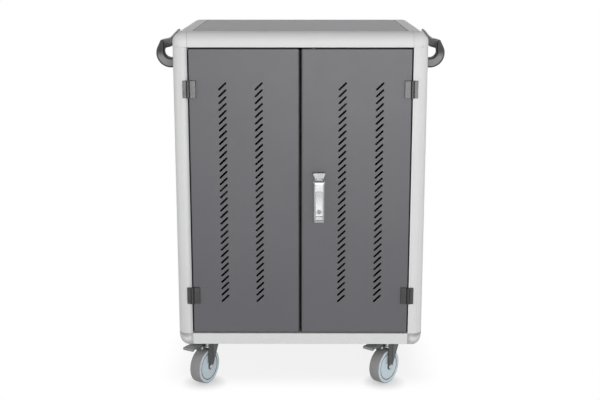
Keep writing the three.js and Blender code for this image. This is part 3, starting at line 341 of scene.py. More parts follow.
def soften(made, width, segments=2, limit=35):
    """Round the sharp edges, join points that fall together, and keep large faces flat under the smooth shading."""
    made.data.polygons.foreach_set("use_smooth", [True] * len(made.data.polygons))
    if width:
        edge = made.modifiers.new("edge", "BEVEL")
        edge.width = width
        edge.segments = segments
        edge.limit_method = "ANGLE"
        edge.angle_limit = radians(limit)
    else:
        made.data.set_sharp_from_angle(angle=radians(limit))
    joined = made.modifiers.new("joined", "WELD")
    joined.merge_threshold = WELD
    flats = made.modifiers.new("flats", "WEIGHTED_NORMAL")
    flats.keep_sharp = True
    return frozen(made)


def face_finish(made, finish, wanted):
    """Give the faces that pass a test another finish."""
    made.data.materials.append(finish)
    last = len(made.data.materials) - 1
    for polygon in made.data.polygons:
        if wanted(polygon):
            polygon.material_index = last
    return made


def looks_forward(polygon, limit=0.95):
    """True for a face on the front of a piece."""
    return -polygon.normal.y > limit


def hand_over(made, slot, *nodes, body=None):
    """The piece moves with a body and stands for CAD nodes, which are hidden; the slot argument is not used."""
    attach(made, body or carrier[nodes[0]])
    if nodes:
        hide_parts(*nodes)
    return made


def rounded_copy(node, width, finish, slot, segments=2):
    """Copy of a CAD solid with its triangles merged into faces and its edges rounded."""
    shape = bmesh.new()
    shape.from_mesh(frame["nodes"][node].data)
    bmesh.ops.remove_doubles(shape, verts=shape.verts, dist=0.01 * MM)
    bmesh.ops.dissolve_limit(shape, angle_limit=radians(0.5), verts=shape.verts, edges=shape.edges)
    return hand_over(soften(as_object("rounded_" + node, shape, finish), width, segments), slot, node)

# %% [markdown]
# ## Frame
# The frame is a set of rails, corners and posts that share one outside surface with a 28 mm edge radius. It
# could be modelled piece by piece, but then the curves would never quite meet. Here one smooth block is made
# once, and each piece keeps the part of it that lies in its own CAD box, so that only the fine seams show. The
# underside is flat from front to rear: a drawn front view cuts it, with round corners at the two sides only.

# %% One rounded block for the whole frame
EDGE_RADIUS = 28 * MM
EDGE_STEPS = 12
frame_low = Vector((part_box("base_rim")[0].x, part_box("front_left_post")[0].y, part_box("base_rim")[0].z))
frame_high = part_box("top_rear_beam")[1]
tall = bmesh.new()
add_block(tall, frame_low - Vector((0, 0, 3 * EDGE_RADIUS)), frame_high)
bmesh.ops.bevel(tall, geom=tall.edges[:], offset=EDGE_RADIUS, segments=EDGE_STEPS, profile=0.5, affect="EDGES")
block = as_object("frame_block", tall, frame_paint)
BEYOND = 5 * MM
round_level = frame_low.z + EDGE_RADIUS
front_view = arc(frame_high.x - EDGE_RADIUS, round_level, EDGE_RADIUS, -90, 0, EDGE_STEPS)
front_view += [(frame_high.x + BEYOND, round_level), (frame_high.x + BEYOND, frame_high.z + BEYOND)]
front_view += [(frame_low.x - BEYOND, frame_high.z + BEYOND), (frame_low.x - BEYOND, round_level)]
front_view += arc(frame_low.x + EDGE_RADIUS, round_level, EDGE_RADIUS, 180, 270, EDGE_STEPS)
underside = bmesh.new()
add_drawn(underside, "y", front_view, frame_low.y - BEYOND, frame_high.y + BEYOND)
carve(block, underside, "INTERSECT")
block_mesh = block.data
bpy.data.objects.remove(block)
print("rounded block with", len(block_mesh.polygons), "faces")

# %% Rails, corners and posts kept from the block
SEAM_EDGE = 0.6 * MM
opening_low = Vector((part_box("front_left_post")[1].x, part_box("front_left_post")[1].y, 0))
opening_high = Vector((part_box("front_right_post")[0].x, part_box("rear_left_post")[0].y, 0))
rear_pivot = Vector(joints["rear_door_hinge"]["pos_m"])
REAR_PIN_RADIUS = 4 * MM
PIN_CLEAR = 0.3 * MM
rear_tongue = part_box("rear_lock")


def pivot_hole():
    """Hole for a rear pivot pin, from the top of the lower rim's hole to the bottom of the upper one."""
    shape = bmesh.new()
    low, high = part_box("rear_door")
    start = Vector((rear_pivot.x, rear_pivot.y, low.z - PIN_CLEAR))
    pin(shape, start, (0, 0, 1), REAR_PIN_RADIUS + PIN_CLEAR, high.z - low.z + 2 * PIN_CLEAR)
    return shape


def tongue_window():
    """Window that the tongue of the rear lock turns through."""
    shape = bmesh.new()
    low, high = rear_tongue
    reach = (high.z + low.z) / 2 - low.z
    middle = (low.x + high.x) / 2
    add_block(shape, (opening_high.x - 7.5 * MM, low.y - MM, low.z), (middle + 1.6 * reach, low.y + 4 * MM, high.z))
    return shape


frame_nodes = [node for node in bodies["cabinet"] if node.endswith(("_rail", "_corner", "_post", "_beam", "_rim"))]
for node in frame_nodes:
    low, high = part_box(node)
    keep_low = [a - BEYOND if a < b + 0.1 * MM else a for a, b in zip(low, frame_low)]
    keep_high = [a + BEYOND if a > b - 0.1 * MM else a for a, b in zip(high, frame_high)]
    kept = bmesh.new()
    add_block(kept, keep_low, keep_high)
    made = bpy.data.objects.new("shaped_" + node, block_mesh.copy())
    scene.collection.objects.link(made)
    carve(made, kept, "INTERSECT")
    if node == "base_rim":
        inside = bmesh.new()
        add_block(inside, (opening_low.x, low.y - BEYOND, low.z - BEYOND), (opening_high.x, opening_high.y, high.z + BEYOND))
        carve(made, inside)
    if node in ("base_rim", "top_rear_beam"):
        carve(made, pivot_hole())
    if node == "rear_right_post":
        carve(made, tongue_window())
    hand_over(soften(made, SEAM_EDGE), "frame_paint", node)
print(len(frame_nodes), "frame pieces share one outside surface")

# %% [markdown]
# ## Folded sheet with vent slots
# The doors and panels are trays folded from 1.5 mm sheet: a flat skin whose edges are bent back. The slots
# repeat, so a Geometry Nodes tree lays a grid of points, puts a rounded slot curve on each one, and fills the
# space between the slots and the outline. The bent edge is a set of nested rounded loops, and a Solidify
# modifier gives skin, bend and slots their sheet thickness together.

# %% Geometry Nodes tree for a slotted skin
def new_tree(name, inputs):
    """Empty tree with named inputs and one geometry output."""
    tree = bpy.data.node_groups.new(name, "GeometryNodeTree")
    for label, kind in inputs.items():
        tree.interface.new_socket(label, in_out="INPUT", socket_type="NodeSocket" + kind)
    tree.interface.new_socket("Geometry", in_out="OUTPUT", socket_type="NodeSocketGeometry")
    given = tree.nodes.new("NodeGroupInput").outputs
    result = tree.nodes.new("NodeGroupOutput").inputs[0]
    return tree, given, result


def vector(tree, x=0.0, y=0.0, z=0.0):
    """Vector from three numbers."""
    return add_node(tree, "ShaderNodeCombineXYZ", {0: x, 1: y, 2: z}).outputs[0]


def finish_tree(tree, geometry, material, result):
    """End a tree in realized instances and a finish."""
    real = add_node(tree, "GeometryNodeRealizeInstances", {0: geometry}).outputs[0]
    painted = add_node(tree, "GeometryNodeSetMaterial", {"Geometry": real, "Material": material}).outputs[0]
    tree.links.new(painted, result)


skin_tree, given, result = new_tree("slotted skin", {
    "Width": "Float", "Height": "Float", "Columns": "Int", "Column Pitch": "Float", "Rows": "Int",
    "Row Pitch": "Float", "Bands": "Int", "Band Pitch": "Float", "Offset": "Float", "Slot Length": "Float",
    "Slot Width": "Float", "Lean": "Float", "Finish": "Material",
})
span_x = reckon(skin_tree, "MULTIPLY", reckon(skin_tree, "SUBTRACT", given["Columns"], 1), given["Column Pitch"])
span_y = reckon(skin_tree, "MULTIPLY", reckon(skin_tree, "SUBTRACT", given["Rows"], 1), given["Row Pitch"])
grid = add_node(skin_tree, "GeometryNodeMeshGrid", {
    "Size X": span_x, "Size Y": span_y, "Vertices X": given["Columns"], "Vertices Y": given["Rows"],
}).outputs[0]
band_span = reckon(skin_tree, "MULTIPLY", reckon(skin_tree, "SUBTRACT", given["Bands"], 1), given["Band Pitch"])
band_line = add_node(skin_tree, "GeometryNodeMeshLine", {
    "Count": given["Bands"],
    "Start Location": vector(skin_tree, given["Offset"], reckon(skin_tree, "MULTIPLY", band_span, -0.5)),
    "Offset": vector(skin_tree, 0.0, given["Band Pitch"]),
}).outputs[0]
grids = add_node(skin_tree, "GeometryNodeInstanceOnPoints", {"Points": band_line, "Instance": grid}).outputs[0]
spots = add_node(skin_tree, "GeometryNodeRealizeInstances", {0: grids}).outputs[0]
slot_bar = add_node(skin_tree, "GeometryNodeCurvePrimitiveQuadrilateral", {
    "Width": reckon(skin_tree, "ADD", given["Slot Length"], given["Slot Width"]), "Height": given["Slot Width"],
}).outputs[0]
slot_curve = add_node(skin_tree, "GeometryNodeFilletCurve", {
    "Curve": slot_bar, "Count": 5, "Radius": reckon(skin_tree, "MULTIPLY", given["Slot Width"], 0.499),
}, mode="POLY").outputs[0]
slots = add_node(skin_tree, "GeometryNodeInstanceOnPoints", {
    "Points": spots, "Instance": slot_curve, "Rotation": vector(skin_tree, 0.0, 0.0, given["Lean"]),
}).outputs[0]
slot_curves = add_node(skin_tree, "GeometryNodeRealizeInstances", {0: slots}).outputs[0]
outline = add_node(skin_tree, "GeometryNodeCurvePrimitiveQuadrilateral", {
    "Width": given["Width"], "Height": given["Height"],
}).outputs[0]
curves = add_node(skin_tree, "GeometryNodeJoinGeometry", {0: outline})
skin_tree.links.new(slot_curves, curves.inputs[0])
filled = add_node(skin_tree, "GeometryNodeFillCurve", {"Curve": curves.outputs[0]}).outputs[0]
finish_tree(skin_tree, filled, given["Finish"], result)
print("slotted skin tree with", len(skin_tree.nodes), "nodes")

# %% Meshes from trees
def grown(name, tree, inputs, mesh=None):
    """Plain mesh object from a tree, with its inputs set by identifier before it is first evaluated."""
    made = bpy.data.objects.new(name, mesh or bpy.data.meshes.new(name))
    scene.collection.objects.link(made)
    modifier = made.modifiers.new(name, "NODES")
    modifier.node_group = tree
    sockets = {item.name: item.identifier for item in tree.interface.items_tree if item.in_out == "INPUT"}
    for label, value in inputs.items():
        modifier[sockets[label]] = value
    return frozen(made)

# %% Skin, bent edge and sheet thickness
SHEET = 1.5 * MM
BEND = 2.4 * MM
BEND_STEPS = 5
FACING = {
    "front": ((1, 0, 0), (0, 0, 1), (0, -1, 0)),
    "rear": ((-1, 0, 0), (0, 0, 1), (0, 1, 0)),
    "right": ((0, 1, 0), (0, 0, 1), (1, 0, 0)),
    "left": ((0, -1, 0), (0, 0, 1), (-1, 0, 0)),
    "up": ((1, 0, 0), (0, 1, 0), (0, 0, 1)),
}


def bent_loop(shape, width, height, inset, level):
    """Rounded rectangle, inset from the outside of the bend."""
    u = width / 2 - BEND
    v = height / 2 - BEND
    loop = []
    for x, y, start in ((u, v, 0), (-u, v, 90), (-u, -v, 180), (u, -v, 270)):
        loop += [shape.verts.new((px, py, level)) for px, py in arc(x, y, BEND - inset, start, start + 90, BEND_STEPS)]
    return loop


def folded_sheet(name, low, high, facing, finish, vents=None):
    """Tray folded from sheet between two corners, its skin on the facing side."""
    across, upward, outward = (Vector(axis) for axis in FACING[facing])
    size = high - low
    width, height, depth = (abs(size.dot(axis)) for axis in (across, upward, outward))
    shape = bmesh.new()
    flat = {"Width": width - 2 * BEND, "Height": height - 2 * BEND, "Finish": finish}
    if vents:
        skin = grown(name + "_skin", skin_tree, {**flat, **vents})
        shape.from_mesh(skin.data)
        bpy.data.objects.remove(skin)
    else:
        corners = [(-1, -1), (1, -1), (1, 1), (-1, 1)]
        shape.faces.new([shape.verts.new((sx * flat["Width"] / 2, sy * flat["Height"] / 2, 0)) for sx, sy in corners])
    bend = [radians(90 * i / BEND_STEPS) for i in range(BEND_STEPS + 1)]
    profile = [(BEND * (1 - sin(a)), -BEND * (1 - cos(a))) for a in bend] + [(0, -depth)]
    loops = [bent_loop(shape, width, height, inset, level) for inset, level in profile]
    for upper, lower in zip(loops, loops[1:]):
        for i in range(len(upper)):
            j = (i + 1) % len(upper)
            shape.faces.new((upper[i], lower[i], lower[j], upper[j]))
    bmesh.ops.remove_doubles(shape, verts=shape.verts, dist=0.005 * MM)
    bmesh.ops.dissolve_degenerate(shape, edges=shape.edges, dist=0.005 * MM)
    turn = Matrix((across, upward, outward)).transposed().to_4x4()
    middle = (low + high) / 2 + outward * depth / 2
    shape.transform(Matrix.Translation(middle) @ turn)
    mesh = bpy.data.meshes.new(name)
    shape.to_mesh(mesh)
    shape.free()
    made = bpy.data.objects.new(name, mesh)
    scene.collection.objects.link(made)
    if not mesh.materials:
        mesh.materials.append(finish)
    thicken = made.modifiers.new("sheet", "SOLIDIFY")
    thicken.thickness = SHEET
    thicken.offset = -1
    thicken.use_even_offset = True
    return frozen(made)

# %% [markdown]
# ## Front doors
# Each front door has two columns of 33 slanted slots. On both doors the slots lean the same way, so the doors
# aren't mirror images. The right door also has holes for the spindle of the lock and for its two rods, which
# pass through the folded edges at the top and the bottom.

# %% Two front doors
VENT_ROWS = 33
VENT_MARGIN = 99 * MM
VENT_SHARES = {"left": (0.364, 0.695), "right": (0.371, 0.711)}
SLOT_LENGTH = 23.5 * MM
SLOT_WIDTH = 5.5 * MM
SLOT_LEAN = radians(44)
lock_axis = Vector(joints["lever_turn"]["pos_m"])
SPINDLE_HOLE = 5.3 * MM
ROD_SLACK = 0.5 * MM
CRANK = 16 * MM

for side, sign in (("left", -1), ("right", 1)):
    low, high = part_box(side + "_door")
    width = high.x - low.x
    inner = min(abs(low.x), abs(high.x))
    columns = [sign * (inner + share * width) for share in VENT_SHARES[side]]
    row_pitch = (high.z - low.z - 2 * VENT_MARGIN) / (VENT_ROWS - 1)
    vents = {
        "Columns": 2, "Column Pitch": abs(columns[1] - columns[0]), "Rows": VENT_ROWS, "Row Pitch": row_pitch,
        "Bands": 1, "Band Pitch": 0.0, "Offset": sum(columns) / 2 - (low.x + high.x) / 2,
        "Slot Length": SLOT_LENGTH, "Slot Width": SLOT_WIDTH, "Lean": SLOT_LEAN,
    }
    door = folded_sheet(side + "_door_sheet", low, high, "front", panel_paint, vents)
    if side == "right":
        hole = bmesh.new()
        pin(hole, (lock_axis.x, low.y - BEYOND, lock_axis.z), (0, 1, 0), SPINDLE_HOLE, 2 * BEYOND)
        carve(door, hole)
        for rod, level in (("upper_lock_rod", high.z), ("lower_lock_rod", low.z)):
            rod_low, rod_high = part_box(rod)
            stem = lock_axis.x + (-CRANK if rod == "upper_lock_rod" else CRANK)
            hole = bmesh.new()
            add_block(
                hole,
                (stem - 4.5 * MM, rod_low.y - ROD_SLACK, level - BEYOND),
                (stem + 4.5 * MM, rod_high.y + ROD_SLACK, level + BEYOND),
            )
            carve(door, hole)
    hand_over(soften(door, 0), "panel_paint", side + "_door")
    print(door.name, "has", len(door.data.polygons), "faces and", 2 * VENT_ROWS, "slots")

# %% Rubber seals beside the doors, and dark strips on the posts as painted shade
def seal_strip(name, edge, way, reach, front, depth, levels, body):
    """Half-round strip on an upright edge."""
    root = edge - way * 0.2 * MM
    centre = front + depth / 2
    outline = [(root, front), (root, front + depth)]
    for step in range(11):
        angle = radians(80 - 16 * step)
        outline.append((edge + way * reach * cos(angle), centre + depth / 2 * sin(angle)))
    strip = bmesh.new()
    add_drawn(strip, "z", outline, *levels)
    hand_over(soften(as_object(name, strip, seal_rubber), 0), "rack_plastic", body=body)


DOOR_SEAL = 2.9 * MM
POST_SHADE_STRIP = 1.0 * MM
for side, way in (("left", 1), ("right", -1)):
    low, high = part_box(side + "_door")
    levels = (low.z + 3 * MM, high.z - 3 * MM)
    inner = high.x if way > 0 else low.x
    seal_strip(side + "_door_seal", inner, way, DOOR_SEAL, low.y + 4 * MM, 7 * MM, levels, carrier[side + "_door"])
    # Painted shade: a thin black strip on each post's inner side darkens the gap beside the door.
    low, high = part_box(f"front_{side}_post")
    inner = high.x if way > 0 else low.x
    seal_strip(side + "_post_shade_strip", inner, way, POST_SHADE_STRIP, low.y + 1.2 * MM, 18 * MM, levels, "cabinet")

# %% [markdown]
# ## Top, sides and rear door
# The top panel lies between the rails, a little below their tops. The side panels close the space between the
# posts, and the right one has a cut-out for the mains inlet. The rear door is one wide leaf with short bands
# of slots at the top and the bottom, which let warm air rise through the adapter compartment.

# %% Top and side panels
for node, facing in (("top_panel", "up"), ("left_side_panel", "left"), ("right_side_panel", "right")):
    panel = folded_sheet(node + "_sheet", *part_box(node), facing, panel_paint)
    if node == "right_side_panel":
        low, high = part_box("power_inlet")
        rim = 5.7 * MM
        hole = bmesh.new()
        add_block(hole, (low.x, low.y + rim, low.z + rim), (high.x, high.y - rim, high.z - rim))
        carve(panel, hole)
    hand_over(soften(panel, 0), "panel_paint", node)
    print(panel.name, "has", len(panel.data.polygons), "faces")

# %% Rear door with its pivot pins
REAR_ROWS = 6
REAR_SHARE = 0.4
REAR_LOCK_HOLE = 9.8 * MM
pin_low, pin_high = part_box("rear_door")
door_low, door_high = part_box("left_door")
low = Vector((pin_low.x, pin_low.y, door_low.z))
high = Vector((pin_high.x, pin_high.y, door_high.z))
row_pitch = (high.z - low.z - 2 * VENT_MARGIN) / (VENT_ROWS - 1)
vents = {
    "Columns": 4, "Column Pitch": REAR_SHARE * (high.x - low.x) / 2, "Rows": REAR_ROWS, "Row Pitch": row_pitch,
    "Bands": 2, "Band Pitch": (VENT_ROWS - REAR_ROWS) * row_pitch, "Offset": 0.0,
    "Slot Length": SLOT_LENGTH, "Slot Width": SLOT_WIDTH, "Lean": -SLOT_LEAN,
}
rear_door = folded_sheet("rear_door_sheet", low, high, "rear", panel_paint, vents)
carve(rear_door, tongue_window())
rear_lock_axis = Vector(joints["rear_lock_turn"]["pos_m"])
hole = bmesh.new()
pin(hole, (rear_lock_axis.x, high.y - BEYOND, rear_lock_axis.z), (0, 1, 0), REAR_LOCK_HOLE, 2 * BEYOND)
carve(rear_door, hole)
hand_over(soften(rear_door, 0), "panel_paint", "rear_door")

PIVOT_BLOCK = 18 * MM
pivots = bmesh.new()
for start, end, way in ((pin_high.z, high.z, -1), (pin_low.z, low.z, 1)):
    pin(pivots, (rear_pivot.x, rear_pivot.y, start), (0, 0, way), REAR_PIN_RADIUS, abs(end - start) + PIVOT_BLOCK, 32, 0.6 * MM)
    inner = end + way * SHEET
    spots = (inner, inner + way * PIVOT_BLOCK)
    add_block(
        pivots,
        (low.x + SHEET, rear_pivot.y - 6 * MM, min(spots)),
        (rear_pivot.x + 6 * MM, high.y - SHEET, max(spots)),
    )
rear_pivots = soften(as_object("rear_door_pivots", pivots, zinc_steel), 0.5 * MM)
hand_over(rear_pivots, "zinc_steel", body="rear_door")
print(rear_door.name, "has", len(rear_door.data.polygons), "faces")

# %% [markdown]
# ## Hinges
# Each front door hangs on two cast surface hinges. The frame leaf carries two knuckles and the pin, and the
# door leaf carries the knuckle between them. The leaves are thick castings with chamfered rims, and a groove runs
# between each leaf and the knuckles. The flat faces are glossy and lighter, and the rims and grooves are dull
# and darker, which is painted shade.

# %% Four hinges, two leaves each
KNUCKLE_RADIUS = 3.6 * MM
KNUCKLE_GAP = 0.6 * MM
LEAF_THICKNESS = 5 * MM
LEAF_CHAMFER = 0.9 * MM
GROOVE = 1.3 * MM
for side, sign in (("left", -1), ("right", 1)):
    axis = Vector(joints[side + "_door_hinge"]["pos_m"])
    for place in ("upper", "lower"):
        frame_leaf = f"{side}_{place}_hinge_frame_leaf"
        door_leaf = f"{side}_{place}_hinge_door_leaf"
        frame_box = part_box(frame_leaf)
        door_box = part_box(door_leaf)
        bottom, top = frame_box[0].z, frame_box[1].z
        third = (top - bottom) / 3
        clear = KNUCKLE_RADIUS + KNUCKLE_GAP
        knuckles = {
            frame_leaf: [(bottom, bottom + third), (top - third, top)],
            door_leaf: [(bottom + third + KNUCKLE_GAP / 2, top - third - KNUCKLE_GAP / 2)],
        }
        for node, way, leaf_box in ((frame_leaf, sign, frame_box), (door_leaf, -sign, door_box)):
            leaf = bmesh.new()
            back = leaf_box[1].y
            front = back - LEAF_THICKNESS
            edge = leaf_box[1].x if way > 0 else leaf_box[0].x
            root = axis.x + way * clear
            ends = (root + way * GROOVE, edge)
            plate = add_block(leaf, (min(ends), front, bottom), (max(ends), back, top))
            for vertex in plate:
                if vertex.co.y < back - MM:
                    vertex.co.x -= way * LEAF_CHAMFER if abs(vertex.co.x - edge) < 0.01 * MM else 0
                    vertex.co.z += LEAF_CHAMFER if vertex.co.z < (bottom + top) / 2 else -LEAF_CHAMFER
            web = (root, root + way * (GROOVE + MM))
            add_block(leaf, (min(web), front + GROOVE, bottom), (max(web), back, top))
            for start, end in knuckles[node]:
                pin(leaf, (axis.x, axis.y, start), (0, 0, 1), KNUCKLE_RADIUS, end - start, 40)
                bridge = (axis.x, root + way * MM)
                add_block(leaf, (min(bridge), front + GROOVE, start), (max(bridge), back, end))
            made = as_object(node + "_cast", leaf, hinge_metal)
            bore = bmesh.new()
            pin(bore, (axis.x, axis.y, bottom - MM), (0, 0, 1), 2.3 * MM, top - bottom + 2 * MM)
            carve(made, bore, overlaps=True)
            soften(made, 0.5 * MM)
            # Painted shade: the front faces take the lighter glossy metal, so the rims and grooves stay dark.
            face_finish(made, hinge_face, lambda face: looks_forward(face) and face.center.y < front + 0.3 * MM)
            hand_over(made, "hinge_metal", node)
        pin_shape = bmesh.new()
        pin(pin_shape, (axis.x, axis.y, bottom + MM), (0, 0, 1), 2 * MM, top - bottom - 2 * MM, 24, 0.3 * MM)
        hinge_pin = soften(as_object(f"{side}_{place}_hinge_pin", pin_shape, zinc_steel), 0)
        hand_over(hinge_pin, "zinc_steel", body="cabinet")
print("hinge leaf height", round((top - bottom) / MM, 1), "mm")

# %% [markdown]
# ## Swing-lever lock
# The lock is a base plate with a flared head, a hub that turns in it, and a lever that folds down flat. The
# lever's side view has a raised cap over the pivot, a face that slopes gently forward, and two finger ridges
# at the tip. Drawing that side view out and cutting both long edges gives the shape with few faces.

# %% Base plate with its flared head
BASE_HALF = 14 * MM
BOSS_RADIUS = 15.3 * MM
HUB_CLEAR = 13.3 * MM
HUB_DEPTH = 3.3 * MM
HEAD_FOOT = 11 * MM
base_low, base_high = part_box("lock_base")
base_back = base_high.y
base_face = base_back - 9 * MM
lever_low, lever_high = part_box("lock_lever")
head_low = base_high.z - 14 * MM
head_half = (base_high.x - base_low.x) / 2
x, z = lock_axis.x, lock_axis.z

plate = bmesh.new()
corner = 5 * MM
add_drawn(plate, "y", [
    (x - BASE_HALF + corner, lever_low.z), (x + BASE_HALF - corner, lever_low.z), (x + BASE_HALF, lever_low.z + corner),
    (x + BASE_HALF, z), (x + HEAD_FOOT, head_low + MM), (x - HEAD_FOOT, head_low + MM),
    (x - BASE_HALF, z), (x - BASE_HALF, lever_low.z + corner),
], base_face, base_back)
lock_base = as_object("lock_base_cast", plate, lock_chrome)
boss = bmesh.new()
pin(boss, (x, base_back, z), (0, -1, 0), BOSS_RADIUS, base_back - base_face, 64)
carve(lock_base, boss, "UNION")
head = bmesh.new()
add_drawn(head, "y", [
    (x - HEAD_FOOT, head_low), (x + HEAD_FOOT, head_low), (x + head_half, base_high.z - 2.5 * MM),
    (x + head_half - 1.5 * MM, base_high.z), (x - head_half + 1.5 * MM, base_high.z), (x - head_half, base_high.z - 2.5 * MM),
], base_low.y, base_back)
carve(lock_base, head, "UNION")
soften(lock_base, 0.7 * MM, 3)
hub_hole = bmesh.new()
pin(hub_hole, (x, base_face + HUB_DEPTH, z), (0, -1, 0), HUB_CLEAR, 30 * MM, 60)
carve(lock_base, hub_hole)
shaft_hole = bmesh.new()
pin(shaft_hole, (x, base_face - MM, z), (0, 1, 0), SPINDLE_HOLE, 12 * MM)
carve(lock_base, shaft_hole)
hand_over(soften(lock_base, 0), "lock_chrome", "lock_base")
print("lock base has", len(lock_base.data.polygons), "faces")

# %% Lever with cap, key bore and finger ridges
front, back, tip = lever_low.y, lever_high.y, lever_low.z
pivot = Vector(joints["lever_lift"]["pos_m"])
round_top = back - pivot.y
cap_foot = z - 21 * MM
ridges = (z - 90 * MM, z - 100.5 * MM)
side_view = arc(pivot.y, z, round_top, 0, 180, 20) + [
    (front, cap_foot), (front + 1.4 * MM, cap_foot - 0.8 * MM), (front + 0.4 * MM, ridges[0] + 4 * MM),
]
for ridge in ridges:
    side_view += [(front + 0.3 * MM, ridge + 1.2 * MM), (front + 1.5 * MM, ridge), (front + 0.3 * MM, ridge - 1.2 * MM)]
side_view += [(front + 0.8 * MM, tip + 4.5 * MM), (front + 4 * MM, tip), (back, tip)]
lever_half = (lever_high.x - lever_low.x) / 2
face_half = 8.5 * MM
cap_half = 10.6 * MM
bar = bmesh.new()
add_drawn(bar, "x", side_view, x - lever_half, x + lever_half)
lever = as_object("lock_lever_cast", bar, lever_chrome)
beyond = lever_half + MM
for way in (-1, 1):
    for half, levels in ((face_half, (tip - MM, cap_foot)), (cap_half, (cap_foot, base_high.z))):
        edge_cut = bmesh.new()
        add_drawn(edge_cut, "z", [
            (x + way * (half - MM), front - MM), (x + way * beyond, front - MM), (x + way * beyond, front + beyond - half),
        ], *levels)
        carve(lever, edge_cut)
LUG_HALF = 5.3 * MM
LUG_ROOM = 5.8 * MM
LIFT = radians(41)
roof = 2 * round_top
run = (roof - LUG_ROOM * cos(LIFT)) / sin(LIFT) * cos(LIFT) - LUG_ROOM * sin(LIFT)
lug_path = [(back + MM, z - LUG_ROOM)] + arc(pivot.y, z, LUG_ROOM, 270, 131, 16)
lug_path += [(pivot.y + run, z + roof), (back + MM, z + roof)]
pocket = bmesh.new()
add_drawn(pocket, "x", lug_path, x - LUG_HALF, x + LUG_HALF)
carve(lever, pocket)
bore = bmesh.new()
pin(bore, (x - 9.3 * MM, pivot.y, z), (1, 0, 0), 2.7 * MM, 18.6 * MM)
carve(lever, bore)
key_axis = Vector(joints["key_turn"]["pos_m"])
bore = bmesh.new()
pin(bore, (x, front - MM, key_axis.z), (0, 1, 0), 6.5 * MM, back - front + 2 * MM, 40)
carve(lever, bore)
soften(lever, 0.5 * MM)
# Painted sheen: the lever's front faces go from darker under the cap to lighter towards the tip.
painted_sheen_chrome = painted_light_by_height(
    "chrome with painted sheen", z - 75 * MM, z - 22 * MM, (0.25, 0.255, 0.26), (0.43, 0.44, 0.45), 0.25, 1.0, 1400.0, (1, 1, 0.03), 0.00001,
)
face_finish(lever, painted_sheen_chrome, looks_forward)
face_finish(lever, cap_chrome, lambda polygon: polygon.center.z > cap_foot and looks_forward(polygon, 0.75))
# Painted shade: the flanks of the finger ridges take the darker dull nickel.
face_finish(lever, key_nickel, lambda polygon: min(abs(polygon.center.z - ridge) for ridge in ridges) < 1.4 * MM
            and polygon.normal.y < -0.3 and abs(polygon.normal.z) > 0.2)
hand_over(lever, "lock_chrome", "lock_lever")
print("lever has", len(lever.data.polygons), "faces")

# %% Key cylinder, spindle, rods and rear lock
key_low, key_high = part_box("lock_key_cylinder")
barrel = bmesh.new()
pin(barrel, (x, key_low.y, key_axis.z), (0, 1, 0), 6.2 * MM, key_high.y - key_low.y, 40, 0.5 * MM)
key = as_object("lock_key_barrel", barrel, key_nickel)
slit = bmesh.new()
add_block(slit, (x - 0.8 * MM, key_low.y - MM, key_axis.z - 3.6 * MM), (x + 0.8 * MM, key_low.y + 3 * MM, key_axis.z + 3.6 * MM))
carve(key, slit)
hand_over(soften(key, 0.2 * MM), "zinc_steel", "lock_key_cylinder")
rounded_copy("lock_spindle", 0.5 * MM, lock_chrome, "zinc_steel")
for node in ("upper_lock_rod", "lower_lock_rod"):
    rounded_copy(node, 0.5 * MM, rod_and_rib_sheen_steel, "zinc_steel")
rounded_copy("rear_lock", 0.7 * MM, lock_chrome, "zinc_steel")
print("lock pieces ride on", carrier["lock_key_cylinder"], carrier["lock_spindle"], carrier["rear_lock"])

# %% [markdown]
# ## Push handles
# A push handle is one moulding: two short arms leave the side panel, bend up and carry a long grip. The bend is
# the same all along, so the hooked profile is drawn out over the whole length and the middle is cut away
# under the grip. The grip sinks a little towards its middle, so the outline is drawn in many short steps that
# can follow the curve. A wide bevel then gives the soft edges that a hand needs.

# %% Left and right push handle
HANDLE_WINDOW_INSET = 32 * MM
GRIP_WIDTH = 21 * MM
GRIP_HEIGHT = 25 * MM
ARM_HEIGHT = 26 * MM
BEND_SHARE = 0.75
GRIP_LEAN = 11 * MM
LEAN_ANGLE = 23
GRIP_ROUND = 5 * MM
WINDOW_ROUND = 14 * MM
GRIP_SAG = 8 * MM
STATIONS = 32
RIM_ROUND = 4.6 * MM
RIM_STEPS = 6
END_SHADE = (0.36, 0.62)


def hook(low, high, inset):
    """Outline of a handle from the side panel outwards, drawn in by an inset."""
    reach = high.x - low.x
    outer = BEND_SHARE * reach
    inner = outer - GRIP_WIDTH
    points = [(0, low.z + inset)] + arc(reach - outer, low.z + outer, outer - inset, -90, LEAN_ANGLE, 28)
    points += arc(reach - GRIP_LEAN - GRIP_ROUND, high.z - GRIP_ROUND, GRIP_ROUND - inset, LEAN_ANGLE, 180, 16)
    points += arc(reach - outer, low.z + ARM_HEIGHT + inner, inner + inset, 0, -90, 16)
    return points + [(0, low.z + ARM_HEIGHT - inset)]


def sag(made, low, high, ceiling):
    """Lower the middle of the grip in a smooth curve, and leave the arms where they are."""
    middle, half = (low.y + high.y) / 2, (high.y - low.y) / 2
    for vertex in made.data.vertices:
        share = cos(0.5 * pi * min(1.0, abs(vertex.co.y - middle) / half)) ** 2
        lift = min(1.0, max(0.0, (vertex.co.z - low.z - ARM_HEIGHT) / (ceiling - low.z - ARM_HEIGHT)))
        vertex.co.z -= GRIP_SAG * share * lift


